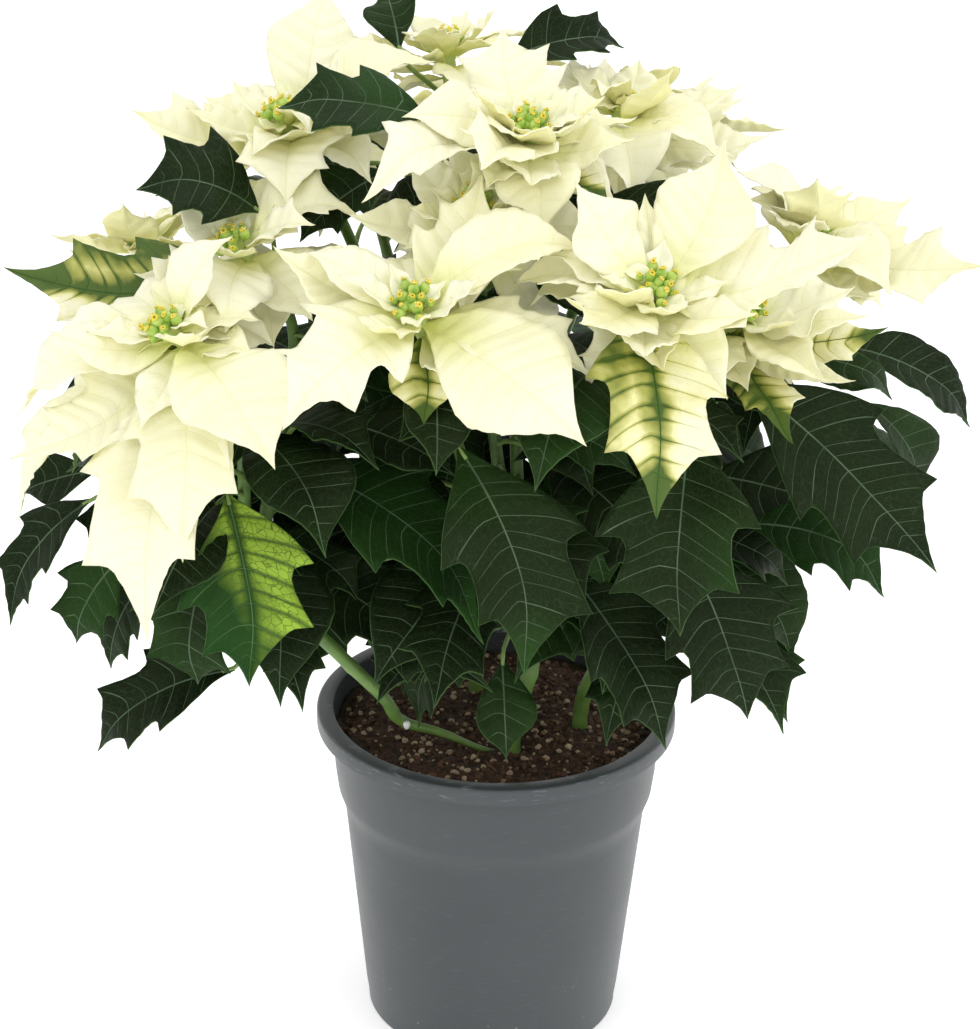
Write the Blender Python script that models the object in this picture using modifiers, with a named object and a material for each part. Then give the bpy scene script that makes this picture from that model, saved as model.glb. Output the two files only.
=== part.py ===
"""A cream poinsettia in its nursery pot, as solids in metres with +Z up.

The origin is the middle of the pot's flat underside. Headings are degrees from +X
towards +Y, so 270 faces the front, and rises are degrees above level. The rooted
cuttings branch into stems. Each stem carries leaves and ends in a bloom, which is a
rosette of coloured bracts round a cluster of small green flowers.
"""

import math

import bmesh
import bpy
import numpy as np
from mathutils import Vector, noise
from mathutils.bvhtree import BVHTree

# Driving dimensions
MM = 0.001
RIM_RADIUS = 85.0 * MM
POT_HEIGHT = 160.0 * MM
POT_FLOOR = 2.0 * MM
TURN_STEPS = 24
DRAIN_HOLES = 6
DRAIN_RADIUS = 5.0 * MM
DRAIN_RING = 42.0 * MM
SOIL_TOP = 149.0 * MM
SOIL_BUMP = 3.0 * MM
ROOT_DEPTH = 28.0 * MM
GAP = 0.3 * MM
STEM_RADIUS = 4.4 * MM
BRANCH_RADIUS = 2.8 * MM
PETIOLE_RADIUS = 1.3 * MM
HUB_LENGTH = 30.0 * MM
HUB_RADIUS = 3.6 * MM
BUDS = 4
BLADE_THICKNESS = 0.7 * MM
CLEARANCE = 0.9 * MM
GOLDEN_ANGLE = 137.508

# Half width along a blade, from its root at 0 to its tip at 1, against half its width
OUTLINES = {
    "smooth": ((0.0, 0.0), (0.19, 0.46), (0.44, 1.0), (0.73, 0.70), (1.0, 0.0)),
    "toothed": ((0.0, 0.0), (0.18, 0.50), (0.36, 1.0), (0.47, 0.72), (0.66, 0.78), (1.0, 0.0)),
}

# Pot seen from the side: radius and height, from the floor's middle over the rim to the base
POT_WALL_INSIDE = ((58.6, 2.0), (70.1, 110.0), (73.3, 119.2), (74.8, 130.2), (76.9, 157.0))
POT_OUTSIDE = ((77.8, 160.0), (84.2, 160.0), (85.0, 159.2), (85.0, 152.6), (84.4, 152.0), (83.4, 152.0),
               (83.4, 158.2), (78.6, 158.2), (76.4, 130.0), (75.0, 119.0), (71.8, 110.0), (61.4, 8.0),
               (60.0, 0.0))

# Rooted cuttings: the points of each main stem above its hole in the soil, in mm
CUTTINGS = {
    "left": ((-19, -30, 154), (-25, -33, 161), (-44, -38, 170), (-52, -42, 184), (-71, -45, 206),
             (-90, -46, 228), (-105, -48, 250)),
    "front": ((8, -28, 155), (11, -30, 175), (16, -32, 200), (12, -35, 235)),
    "right": ((40, -2, 155), (44, -5, 175), (56, -12, 200), (64, -16, 225)),
    "back": ((-10, 34, 155), (-13, 37, 180), (-16, 42, 215)),
}

# Blooms: the cutting that carries each, its middle in mm, and how many extra bracts fill it out
BLOOMS = {
    "front": ("front", (-37, -115, 403), 1),
    "left_low": ("left", (-141, -95, 384), 1),
    "left_mid": ("left", (-116, -50, 406), 1),
    "high": ("front", (10, -45, 458), 1),
    "right_front": ("right", (62, -110, 410), 1),
    "right_mid": ("right", (104, -58, 384), 1),
    "right_back": ("right", (142, 25, 392), 1),
    "high_right": ("right", (53, 30, 447), 1),
    "high_left": ("back", (-99, 0, 448), 1),
    "top": ("back", (-28, 70, 462), 1),
    "inner": ("front", (-13, -60, 427), 1),
    "left_back": ("left", (-171, 80, 361), 2),
    "back_left": ("back", (-78, 118, 412), 5),
    "back_right": ("back", (70, 122, 420), 5),
}

# Bracts of each bloom: outline, heading, rise, length, width, and how far down the hub each grows (mm)
BRACTS = {
    "front": (("smooth", 13, 24, 77, 34, 8), ("smooth", 316, -16, 93, 54, 14), ("toothed", 341, -9, 76, 34, 18),
              ("toothed", 228, -15, 80, 54, 14), ("smooth", 170, 22, 65, 30, 8), ("toothed", 53, 53, 66, 36, 6),
              ("smooth", 277, -34, 45, 28, 22)),
    "left_low": (("smooth", 303, -25, 79, 46, 12), ("toothed", 275, -35, 97, 50, 14),
                 ("toothed", 253, -55, 125, 54, 22), ("smooth", 179, -21, 80, 38, 10),
                 ("toothed", 207, -26, 86, 42, 14), ("toothed", 182, -43, 118, 42, 20),
                 ("toothed", 167, -27, 91, 38, 18), ("smooth", 16, -9, 45, 26, 6), ("smooth", 122, 2, 51, 28, 5)),
    "left_mid": (("toothed", 358, 27, 58, 32, 8), ("smooth", 309, -27, 47, 34, 10), ("smooth", 262, -14, 55, 34, 12),
                 ("smooth", 219, 4, 51, 28, 10), ("toothed", 177, 5, 110, 46, 16), ("smooth", 190, -8, 84, 36, 20)),
    "high": (("toothed", 114, 47, 52, 46, 6), ("smooth", 337, 38, 39, 30, 8), ("smooth", 336, 18, 47, 24, 12),
             ("smooth", 205, 14, 58, 30, 8), ("toothed", 223, 10, 88, 38, 14), ("toothed", 253, -5, 71, 38, 10),
             ("smooth", 287, -14, 53, 32, 18), ("smooth", 319, -9, 46, 24, 20)),
    "high_right": (("smooth", 350, 19, 52, 28, 8), ("smooth", 275, -14, 60, 36, 10), ("toothed", 20, 12, 61, 32, 14),
                   ("smooth", 319, 0, 57, 26, 10), ("smooth", 54, 59, 30, 20, 5), ("smooth", 175, 50, 30, 20, 5),
                   ("smooth", 5, 3, 73, 30, 20)),
    "right_front": (("toothed", 347, 25, 95, 54, 8), ("toothed", 89, 54, 44, 28, 8), ("smooth", 38, 56, 72, 40, 8),
                    ("smooth", 245, 30, 50, 24, 12), ("smooth", 267, 3, 56, 24, 12), ("smooth", 318, -31, 52, 30, 20),
                    ("toothed", 285, -47, 94, 52, 16)),
    "right_mid": (("smooth", 338, 25, 51, 34, 8), ("smooth", 316, 0, 71, 14, 16), ("smooth", 302, 20, 58, 28, 6),
                  ("smooth", 280, -17, 40, 22, 20), ("toothed", 293, -4, 66, 28, 14), ("toothed", 352, 8, 69, 34, 18)),
    "right_back": (("toothed", 342, 18, 82, 42, 10), ("toothed", 290, 70, 58, 34, 6), ("smooth", 191, 50, 49, 30, 8),
                   ("smooth", 323, -11, 57, 32, 16)),
    "high_left": (("toothed", 197, 10, 70, 38, 10), ("toothed", 276, -13, 52, 46, 12), ("smooth", 149, 14, 44, 28, 8),
                  ("smooth", 72, 66, 70, 36, 12), ("smooth", 9, 30, 72, 28, 10)),
    "top": (("smooth", 224, 5, 51, 26, 12), ("smooth", 10, 45, 30, 18, 6), ("smooth", 116, 31, 36, 22, 6),
            ("smooth", 287, -2, 48, 28, 12)),
    "inner": (("smooth", 295, 18, 30, 20, 6), ("smooth", 235, 2, 46, 30, 10)),
    "left_back": (("smooth", 225, 55, 40, 24, 8), ("smooth", 200, 26, 46, 26, 6)),
    "back_left": (), "back_right": (),
}

# Leaves that show: outline, where the blade starts, heading, rise, length and width (mm)
LEAVES = (
    ("toothed", (-112, -30, 411), 164, 45, 50, 36), ("toothed", (-30, -48, 455), 186, 8, 64, 46),
    ("toothed", (-50, -25, 430), 208, -31, 50, 38), ("smooth", (-48, 50, 455), 104, 29, 38, 24),
    ("smooth", (0, 25, 458), 20, 10, 60, 26), ("smooth", (24, -30, 405), 287, -22, 68, 44),
    ("toothed", (41, -20, 418), 306, -3, 62, 38), ("smooth", (147, -30, 355), 0, -29, 77, 34),
    ("toothed", (102, -70, 354), 340, -41, 119, 64), ("smooth", (163, 0, 317), 0, -57, 58, 38),
    ("toothed", (78, -112, 346), 261, -61, 86, 68), ("toothed", (80, -86, 280), 312, -59, 79, 64),
    ("toothed", (108, -56, 280), 351, -19, 74, 44), ("toothed", (31, -78, 265), 320, -46, 89, 52),
    ("toothed", (-19, -106, 337), 313, -59, 104, 60), ("toothed", (-90, -86, 320), 342, -33, 117, 62),
    ("smooth", (-69, -76, 334), 345, -8, 62, 30), ("toothed", (-104, -66, 324), 316, 8, 73, 38),
    ("toothed", (-116, -104, 313), 298, -65, 84, 58), ("toothed", (-165, -68, 266), 206, -57, 48, 34),
    ("toothed", (-180, -50, 285), 197, -52, 70, 34), ("smooth", (-180, -30, 290), 180, -19, 40, 28),
    ("toothed", (-155, -55, 250), 200, -66, 48, 34), ("toothed", (-128, -78, 268), 240, -74, 60, 44),
    ("toothed", (-112, -58, 250), 350, -62, 44, 36), ("toothed", (-117, -70, 211), 189, -30, 77, 40),
    ("toothed", (-96, -58, 262), 336, -27, 111, 44), ("smooth", (-66, -56, 244), 335, -50, 40, 24),
    ("toothed", (-10, -34, 222), 215, -28, 62, 38), ("smooth", (2, -56, 212), 277, -62, 46, 28),
    ("toothed", (26, -50, 312), 294, -51, 69, 52), ("toothed", (60, -40, 254), 255, -55, 62, 46),
    ("smooth", (20, -48, 232), 232, 12, 32, 20),
)

# Leaves low at the back, which the front view hides: the same columns
LOW_BACK_LEAVES = (
    ("toothed", (-27, 52, 283), 142, -23, 80, 46), ("toothed", (-16, 73, 275), 31, -23, 84, 46),
    ("toothed", (7, 69, 273), 100, -16, 62, 38), ("toothed", (-31, 44, 229), 172, -33, 71, 40),
    ("toothed", (-29, 60, 228), 112, -33, 62, 38), ("toothed", (2, 47, 252), 6, -28, 58, 36),
)

# Leaves out of the front view follow a rule: how many steps round each branch, and their size range (mm)
HIDDEN_LEAF_STEPS = (0.42, 0.80)
HIDDEN_LEAF_LENGTH = (74.0, 104.0)
HIDDEN_HEADINGS = (-25.0, 205.0)
FILL_LENGTH = 58.0
FILL_WIDTH = 36.0
BRACT_FULLNESS = 1.12
STEEP = 0.30
FACING = 30.0
FACING_DEPTH = 60.0 * MM

TURNS_TO_TRY = (0, -7, 7, -14, 14, -21, 21, -30, 30, -40, 40)
LIFTS_TO_TRY = (0, 7, -7, 14, -14, 22, -22, 32, -32)
SIZES_TO_TRY = (1.0, 0.9, 0.8)


def mm(point):
    return np.array(point, float) * MM


def unit(vector):
    return vector / np.linalg.norm(vector)


def direction(heading, rise):
    """The way a blade points: heading round the plant and rise above level, in degrees."""
    turn, lift = math.radians(heading), math.radians(rise)
    return np.array((math.cos(turn) * math.cos(lift), math.sin(turn) * math.cos(lift), math.sin(lift)))


def bloom_axis(middle):
    """Blooms lean outwards, away from a point low on the plant's own axis."""
    return unit(np.array((middle[0], middle[1], 0.17)))


def half_width(outline, t):
    knots = OUTLINES[outline]
    return np.interp(t, [knot[0] for knot in knots], [knot[1] for knot in knots])


def blade_frame(blade, t):
    """The point on a blade's midrib at t, with its tangent, its side and its upward normal."""
    along = direction(blade["heading"], blade["rise"])
    turn = math.radians(blade["heading"])
    side = np.array((math.sin(turn), -math.cos(turn), 0.0))
    up = np.cross(side, along)
    bow = 4.0 * blade["arch"] * blade["length"]
    point = blade["base"] + along * blade["length"] * t + up * bow * t * (1.0 - t)
    tangent = unit(along * blade["length"] + up * bow * (1.0 - 2.0 * t))
    roll = math.radians(blade["roll"])
    normal = np.cross(side, tangent)
    side = side * math.cos(roll) + normal * math.sin(roll)
    return point, tangent, side, np.cross(side, tangent)


def blade_point(blade, t, s):
    """The point of a blade at t along its midrib and s across it, from -1 to 1."""
    point, tangent, side, normal = blade_frame(blade, t)
    reach = s * 0.5 * blade["width"] * half_width(blade["outline"], t)
    fold = math.radians(blade["fold"])
    ripple = blade["wave"] * math.sin(9.0 * t + blade["phase"] + 1.9 * s)
    sweep = 0.3 * abs(reach) * math.sin(math.pi * t)
    rise = abs(reach) * (math.sin(fold) + ripple)
    return point + side * reach * math.cos(fold) + normal * rise + tangent * sweep


def stations(outline):
    return [knot[0] for knot in OUTLINES[outline]]


def shell(rings):
    """A closed test surface through a row of rings, for finding what crosses what."""
    count = len(rings[0])
    points = [Vector(point) for ring in rings for point in ring]
    faces = [tuple(range(count))[::-1], tuple(range((len(rings) - 1) * count, len(rings) * count))]
    for row in range(len(rings) - 1):
        for i in range(count):
            j = (i + 1) % count
            faces.append((row * count + i, row * count + j, (row + 1) * count + j, (row + 1) * count + i))
    low = np.min(np.array([tuple(point) for point in points]), axis=0)
    high = np.max(np.array([tuple(point) for point in points]), axis=0)
    return {"tree": BVHTree.FromPolygons(points, faces), "low": low, "high": high}


def blade_shell(blade, start=0.0):
    rings = []
    for t in [t for t in stations(blade["outline"]) if t >= start]:
        t = min(max(t, 0.015), 0.985)
        _, _, side, normal = blade_frame(blade, t)
        left, middle, right = (blade_point(blade, t, s) for s in (-1, 0, 1))
        left, right = left - side * CLEARANCE, right + side * CLEARANCE
        off = normal * CLEARANCE
        rings.append((left + off, middle + off, right + off, right - off, middle - off, left - off))
    return shell(rings)


def tube_shell(path, radius):
    rings = []
    for i, point in enumerate(path):
        along = unit(path[min(i + 1, len(path) - 1)] - path[max(i - 1, 0)])
        first = unit(np.cross(along, (0.3, 1.0, 0.2)))
        second = np.cross(along, first)
        reach = radius + CLEARANCE
        rings.append([point + reach * (math.cos(a) * first + math.sin(a) * second)
                      for a in np.linspace(0, 2 * math.pi, 6, endpoint=False)])
    return shell(rings)


def touches(one, other):
    apart = (one["low"] > other["high"]) | (one["high"] < other["low"])
    return not apart.any() and bool(one["tree"].overlap(other["tree"]))


def in_pot(blade):
    """Whether a blade comes down into the soil or the pot's rim."""
    for t in stations(blade["outline"])[1:]:
        for s in (-1, 0, 1):
            x, y, z = blade_point(blade, t, s)
            radius = math.hypot(x, y)
            on_rim = z < POT_HEIGHT + 3 * MM and 0.072 < radius < RIM_RADIUS + 3 * MM
            if on_rim or (radius < RIM_RADIUS and z < SOIL_TOP + 6 * MM):
                return True
    return False


def bezier(start, first, second, end, count):
    points = []
    for t in np.linspace(0.0, 1.0, count):
        u = 1.0 - t
        points.append(u ** 3 * start + 3 * u * u * t * first + 3 * u * t * t * second + t ** 3 * end)
    return points


def main_stem(cutting):
    """The main stem's points, from the bottom of its hole in the soil to its fork."""
    points = [mm(point) for point in CUTTINGS[cutting]]
    foot = points[0].copy()
    foot[2] = SOIL_TOP - ROOT_DEPTH + GAP
    return [foot] + points


def branch(name):
    """The branch from a cutting's fork to the foot of the bloom's hub."""
    cutting, middle, _ = BLOOMS[name]
    stem = main_stem(cutting)
    start = stem[-1] + 8 * MM * unit(stem[-2] - stem[-1])
    lean = bloom_axis(mm(middle))
    tip = mm(middle) - lean * (HUB_LENGTH + GAP)
    end = tip - lean * 4 * MM
    span = np.linalg.norm(end - start)
    up = unit(stem[-1] - stem[-2])
    outward = np.array((end[0] - start[0], end[1] - start[1], 0.0)) * 0.35
    return bezier(start, start + up * 0.25 * span + outward, end - lean * 0.3 * span, end, 5) + [tip]


def petiole(blade, root):
    """The leaf stalk from its stem to a little way along the blade's midrib."""
    span = np.linalg.norm(blade["base"] - root)
    end, tangent, _, _ = blade_frame(blade, 0.07)
    out = unit(blade["base"] - root) + np.array((0.0, 0.0, 0.5))
    return bezier(root, root + out * 0.4 * span, blade["base"] - tangent * 0.3 * span, end, 4)


def candidates():
    """Small changes of heading, rise and size, the smallest first."""
    rows = []
    for turn in TURNS_TO_TRY:
        for lift in LIFTS_TO_TRY:
            for size in SIZES_TO_TRY:
                cost = (turn / 10) ** 2 + (lift / 10) ** 2 + ((1.0 - size) * 12) ** 2
                rows.append((round(cost, 4), turn, lift, size))
    return sorted(rows)


def settle(blade, node, placed, root=None):
    """Bends a blade clear of the other nodes, and if it can of its own. It returns its shells, or None."""
    spare = None
    wanted = dict(blade)
    for _, turn, lift, size in candidates():
        blade.update(heading=wanted["heading"] + turn, rise=min(wanted["rise"] + lift, 84),
                     length=wanted["length"] * size)
        if in_pot(blade):
            continue
        shells = [blade_shell(blade)]
        if root is not None:
            shells.append(tube_shell(petiole(blade, root), PETIOLE_RADIUS))
        others = [shape for owner, shape, _ in placed if owner != node]
        if any(touches(mine, shape) for mine in shells for shape in others):
            continue
        outer = blade_shell(blade, 0.3)
        if any(touches(outer, shape) for owner, _, shape in placed if owner == node and shape):
            spare = spare or (dict(blade), shells, outer)
            continue
        return shells, outer
    if spare:
        blade.update(spare[0])
        return spare[1], spare[2]
    return None


def new_blade(outline, base, heading, rise, length, width, index, lean, leaf=False):
    """A bract or a leaf, with the bow, fold and ripple that its place in the order gives it."""
    steep = direction(heading, rise) @ lean > STEEP
    vary = math.sin(index * 2.4)
    front = 1.0 if base[1] < FACING_DEPTH else -0.6
    facing = -FACING * math.cos(math.radians(heading)) * front
    return {
        "outline": outline, "base": base, "heading": heading, "rise": rise, "length": length * MM,
        "width": width * MM, "arch": -0.11 if steep else 0.09 + 0.04 * vary,
        "fold": (10.0 if leaf else 14.0) + 7.0 * math.sin(index * 1.7), "roll": 8.0 * math.sin(index * 3.1) + facing,
        "wave": 0.09 if leaf else 0.13, "phase": index * 1.3,
    }


def fill_bracts(name, hero, count):
    """More bracts, each in the widest gap that is left round the bloom."""
    headings = [row[1] % 360 for row in hero]
    rows = []
    for i in range(count):
        ring = sorted(headings) or [40.0]
        gaps = [((ring + [ring[0] + 360])[k + 1] - ring[k], ring[k]) for k in range(len(ring))]
        width, start = max(gaps)
        heading = (start + width / 2) % 360
        headings.append(heading)
        rise = 12 + 10 * math.sin(i * 2.1 + len(name))
        rows.append(("toothed" if i % 3 == 0 else "smooth", heading, rise, FILL_LENGTH + 7 * math.sin(i * 1.9),
                     FILL_WIDTH, 8 + 3 * (i % 3)))
    return rows


def hidden_leaves(paths):
    """Leaves at the back and sides, spaced by the golden angle up every branch."""
    rows = []
    for number, name in enumerate(BLOOMS):
        path = paths[name]
        for i, step in enumerate(HIDDEN_LEAF_STEPS):
            heading = (number * 61 + i * GOLDEN_ANGLE + 180) % 360 - 180
            low, high = HIDDEN_HEADINGS
            if not low < heading % 360 < high:
                continue
            root = path[round(step * (len(path) - 1))]
            outward = direction(heading, 0)
            base = root + outward * 30 * MM + np.array((0, 0, 14 * MM))
            short, long = HIDDEN_LEAF_LENGTH
            length = short + (long - short) * (0.5 + 0.5 * math.sin(number * 1.3 + i))
            rows.append(("toothed", base / MM, heading, -18 - 22 * (1 - step), length, 0.56 * length))
    return rows


def plan_plant():
    """Every bloom and leaf in its place: blades by node, with the branches and petioles that carry them."""
    paths = {name: branch(name) for name in BLOOMS}
    placed = []
    for name, (cutting, middle, _) in BLOOMS.items():
        lean, middle = bloom_axis(mm(middle)), mm(middle)
        placed.append(("plant_" + cutting, tube_shell(paths[name], BRANCH_RADIUS), None))
        hub = [middle - lean * HUB_LENGTH * part for part in (1.0, 0.5, 0.0)]
        placed.append(("bloom_" + name, tube_shell(hub, HUB_RADIUS), None))
        head = [middle + lean * part * MM for part in (2, 9)]
        placed.append(("flowers_" + name, tube_shell(head, 7 * MM), None))
    for cutting in CUTTINGS:
        placed.append(("plant_" + cutting, tube_shell(main_stem(cutting), STEM_RADIUS), None))
    bracts = {name: [] for name in BLOOMS}
    index = 0
    for name, (_, middle, fill) in BLOOMS.items():
        lean = bloom_axis(mm(middle))
        for outline, heading, rise, length, width, drop in (*BRACTS[name], *fill_bracts(name, BRACTS[name], fill)):
            index += 1
            blade = new_blade(outline, mm(middle) - lean * drop * MM, heading, rise, length,
                              width * BRACT_FULLNESS, index, lean)
            found = settle(blade, "bloom_" + name, placed)
            if found:
                placed.append(("bloom_" + name, found[0][0], found[1]))
                bracts[name].append(blade)
    leaves = {cutting: [] for cutting in CUTTINGS}
    for outline, base, heading, rise, length, width in (*LEAVES, *hidden_leaves(paths), *LOW_BACK_LEAVES):
        index += 1
        blade = new_blade(outline, mm(base), heading, rise, length, width, index, -direction(heading, 0), leaf=True)
        name, root = nearest_branch(paths, blade["base"])
        node = "plant_" + BLOOMS[name][0]
        found = settle(blade, node, placed, root)
        if found:
            placed.append((node, found[0][0], found[1]))
            placed.append((node, found[0][1], None))
            blade["root"] = root
            leaves[BLOOMS[name][0]].append(blade)
    return paths, bracts, leaves


def nearest_branch(paths, base):
    """The branch, and the point on it below the hub, that a leaf grows from."""
    best = None
    for name, path in paths.items():
        for point in path[1:-1]:
            rise = max(point[2] - base[2] + 6 * MM, 0.0)
            span = np.linalg.norm(base - point) + 3.0 * rise
            if best is None or span < best[0]:
                best = (span, name, point)
    return best[1], best[2]


def blade_mesh(blade, name):
    """A blade as a grid laid along its midrib, split into triangles before it gets its thickness."""
    rows = stations(blade["outline"])
    bm = bmesh.new()
    bmesh.ops.create_grid(bm, x_segments=len(rows) - 1, y_segments=2, size=1.0)
    for vert in bm.verts:
        t = rows[round((vert.co.x + 1.0) * 0.5 * (len(rows) - 1))]
        vert.co = Vector(blade_point(blade, t, vert.co.y))
    bmesh.ops.remove_doubles(bm, verts=bm.verts[:], dist=1e-6)
    bmesh.ops.triangulate(bm, faces=bm.faces[:])
    obj = object_from(bm, name)
    thick = obj.modifiers.new("Thickness", "SOLIDIFY")
    thick.thickness = BLADE_THICKNESS
    thick.offset = 0.0
    return applied(obj)


def object_from(bm, name):
    mesh = bpy.data.meshes.new(name)
    bm.to_mesh(mesh)
    bm.free()
    obj = bpy.data.objects.new(name, mesh)
    bpy.context.scene.collection.objects.link(obj)
    return obj


def applied(obj):
    """The object with its modifiers applied and its doubled points joined."""
    bpy.context.view_layer.update()
    graph = bpy.context.evaluated_depsgraph_get()
    mesh = bpy.data.meshes.new_from_object(obj.evaluated_get(graph))
    name, place = obj.name, obj.matrix_world.copy()
    bpy.data.objects.remove(obj)
    bm = bmesh.new()
    bm.from_mesh(mesh)
    bmesh.ops.remove_doubles(bm, verts=bm.verts[:], dist=1e-7)
    bmesh.ops.recalc_face_normals(bm, faces=bm.faces[:])
    bpy.data.meshes.remove(mesh)
    result = object_from(bm, name)
    result.matrix_world = place
    return result


def tube(path, radii, name, sides):
    """A round stalk along a path, as a curve with a bevel that is then made a mesh."""
    curve = bpy.data.curves.new(name, "CURVE")
    curve.dimensions = "3D"
    curve.bevel_depth = 1.0
    curve.bevel_resolution = (sides - 4) // 2
    curve.use_fill_caps = True
    spline = curve.splines.new("POLY")
    spline.points.add(len(path) - 1)
    for point, place, radius in zip(spline.points, path, radii):
        point.co = (*place, 1.0)
        point.radius = radius
    obj = bpy.data.objects.new(name, curve)
    bpy.context.scene.collection.objects.link(obj)
    return applied(obj)


def biggest_body(obj):
    """Keeps the one main body: loose scraps go, and a hollow that joining sealed is filled."""
    bm = bmesh.new()
    bm.from_mesh(obj.data)
    bmesh.ops.triangulate(bm, faces=bm.faces[:])
    left, bodies = set(bm.faces), []
    while left:
        body, edge = set(), [left.pop()]
        while edge:
            face = edge.pop()
            body.add(face)
            near = {other for side in face.edges for other in side.link_faces} & left
            left -= near
            edge.extend(near)
        size = sum(f.verts[0].co.dot(f.verts[1].co.cross(f.verts[2].co)) for f in body)
        bodies.append((size, body))
    best = max(bodies, key=lambda row: row[0])[1]
    bmesh.ops.delete(bm, geom=[face for face in bm.faces if face not in best], context="FACES")
    bm.to_mesh(obj.data)
    bm.free()


def open_edges(obj):
    bm = bmesh.new()
    bm.from_mesh(obj.data)
    count = sum(not edge.is_manifold for edge in bm.edges)
    bm.free()
    return count


def joined(name, shapes):
    """One body from overlapping shapes, by one Boolean union on a collection."""
    for solver in ("EXACT", "MANIFOLD"):
        first = shapes[0].copy()
        first.data = shapes[0].data.copy()
        bpy.context.scene.collection.objects.link(first)
        rest = bpy.data.collections.new(name + "_shapes")
        for shape in shapes[1:]:
            rest.objects.link(shape)
        union = first.modifiers.new("Union", "BOOLEAN")
        union.operation = "UNION"
        union.operand_type = "COLLECTION"
        union.collection = rest
        union.solver = solver
        result = applied(first)
        bpy.data.collections.remove(rest)
        if result.data.polygons and not open_edges(result):
            break
    for shape in shapes:
        bpy.data.objects.remove(shape)
    result.name = name
    biggest_body(result)
    return result


def turned(profile, name):
    """A turned solid from its profile: radius and height, from the axis round to the axis."""
    bm = bmesh.new()
    points = [bm.verts.new((radius, 0.0, height)) for radius, height in profile]
    for start, end in zip(points, points[1:]):
        bm.edges.new((start, end))
    obj = object_from(bm, name)
    screw = obj.modifiers.new("Turn", "SCREW")
    screw.steps = screw.render_steps = TURN_STEPS
    screw.use_merge_vertices = True
    screw.merge_threshold = 1e-5
    return applied(obj)


def cut(obj, cutters):
    """Takes upright round cutters, each (x, y, radius, low, high), out of an object."""
    bm = bmesh.new()
    for x, y, radius, low, high in cutters:
        made = bmesh.ops.create_cone(bm, cap_ends=True, segments=8, radius1=radius, radius2=radius,
                                     depth=high - low)
        bmesh.ops.translate(bm, verts=made["verts"], vec=(x, y, (low + high) / 2))
    cutter = object_from(bm, obj.name + "_cutter")
    holes = obj.modifiers.new("Holes", "BOOLEAN")
    holes.operation = "DIFFERENCE"
    holes.object = cutter
    result = applied(obj)
    bpy.data.objects.remove(cutter)
    return result


def make_pot():
    profile = [(0.0, POT_FLOOR)] + [(r * MM, z * MM) for r, z in POT_WALL_INSIDE + POT_OUTSIDE] + [(0.0, 0.0)]
    pot = turned(profile, "pot")
    ring = [math.radians(360 / DRAIN_HOLES * (i + 0.5)) for i in range(DRAIN_HOLES)]
    return cut(pot, [(DRAIN_RING * math.cos(a), DRAIN_RING * math.sin(a), DRAIN_RADIUS, -0.01, 0.01) for a in ring])


def soil_height(x, y):
    """The lumpy top of the soil, level round each stem."""
    bump = noise.noise(Vector((x * 55, y * 55, 3.0))) * SOIL_BUMP
    mound = 5 * MM * math.exp(-((x - 0.032) ** 2 + (y + 0.022) ** 2) / 0.018 ** 2)
    near = min(math.hypot(x - p[0][0] * MM, y - p[0][1] * MM) for p in CUTTINGS.values())
    calm = min(max((near - 7 * MM) / (9 * MM), 0.0), 1.0)
    return (bump + mound) * calm


def make_soil():
    wall = [((r * MM) - GAP, z * MM) for r, z in POT_WALL_INSIDE[1:-1]]
    top_radius = np.interp(SOIL_TOP, (130.2 * MM, 157.0 * MM), (74.8 * MM, 76.9 * MM)) - GAP
    profile = [(top_radius * i / 5, SOIL_TOP) for i in range(6)] + wall[::-1]
    profile += [((POT_WALL_INSIDE[0][0] * MM) - GAP, POT_FLOOR + GAP), (0.0, POT_FLOOR + GAP)]
    soil = turned(profile, "soil")
    for vert in soil.data.vertices:
        if vert.co.z > SOIL_TOP - MM and math.hypot(vert.co.x, vert.co.y) < top_radius - 4 * MM:
            vert.co.z += soil_height(vert.co.x, vert.co.y)
    feet = [(p[0][0] * MM, p[0][1] * MM, STEM_RADIUS + GAP + 0.3 * MM, SOIL_TOP - ROOT_DEPTH, SOIL_TOP + 0.02)
            for p in CUTTINGS.values()]
    return cut(soil, feet)


def make_plant(cutting, paths, leaves):
    """One rooted cutting: its main stem, its branches, and its leaves on their stalks."""
    name = "plant_" + cutting
    stem = main_stem(cutting)
    shapes = [tube(stem, np.linspace(STEM_RADIUS, STEM_RADIUS * 0.9, len(stem)), name + "_stem", 6)]
    for bloom, (owner, _, _) in BLOOMS.items():
        if owner == cutting:
            path = paths[bloom]
            radii = np.linspace(BRANCH_RADIUS * 1.15, BRANCH_RADIUS * 0.85, len(path))
            shapes.append(tube(path, radii, name + "_" + bloom, 6))
    for number, blade in enumerate(leaves):
        path = petiole(blade, blade["root"])
        radii = np.linspace(PETIOLE_RADIUS, PETIOLE_RADIUS * 0.8, len(path))
        shapes.append(tube(path, radii, f"{name}_stalk_{number}", 4))
        shapes.append(blade_mesh(blade, f"{name}_leaf_{number}"))
    return joined(name, shapes)


def make_bloom(bloom, blades):
    """The bracts of one bloom, fused to the short hub that they grow from."""
    name = "bloom_" + bloom
    middle = mm(BLOOMS[bloom][1])
    lean = bloom_axis(middle)
    hub = [middle - lean * HUB_LENGTH * part for part in (1.0, 0.5, 0.0)]
    shapes = [tube(hub, (HUB_RADIUS * 0.75, HUB_RADIUS, HUB_RADIUS), name + "_hub", 6)]
    shapes += [blade_mesh(blade, f"{name}_bract_{i}") for i, blade in enumerate(blades)]
    return joined(name, shapes)


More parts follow.
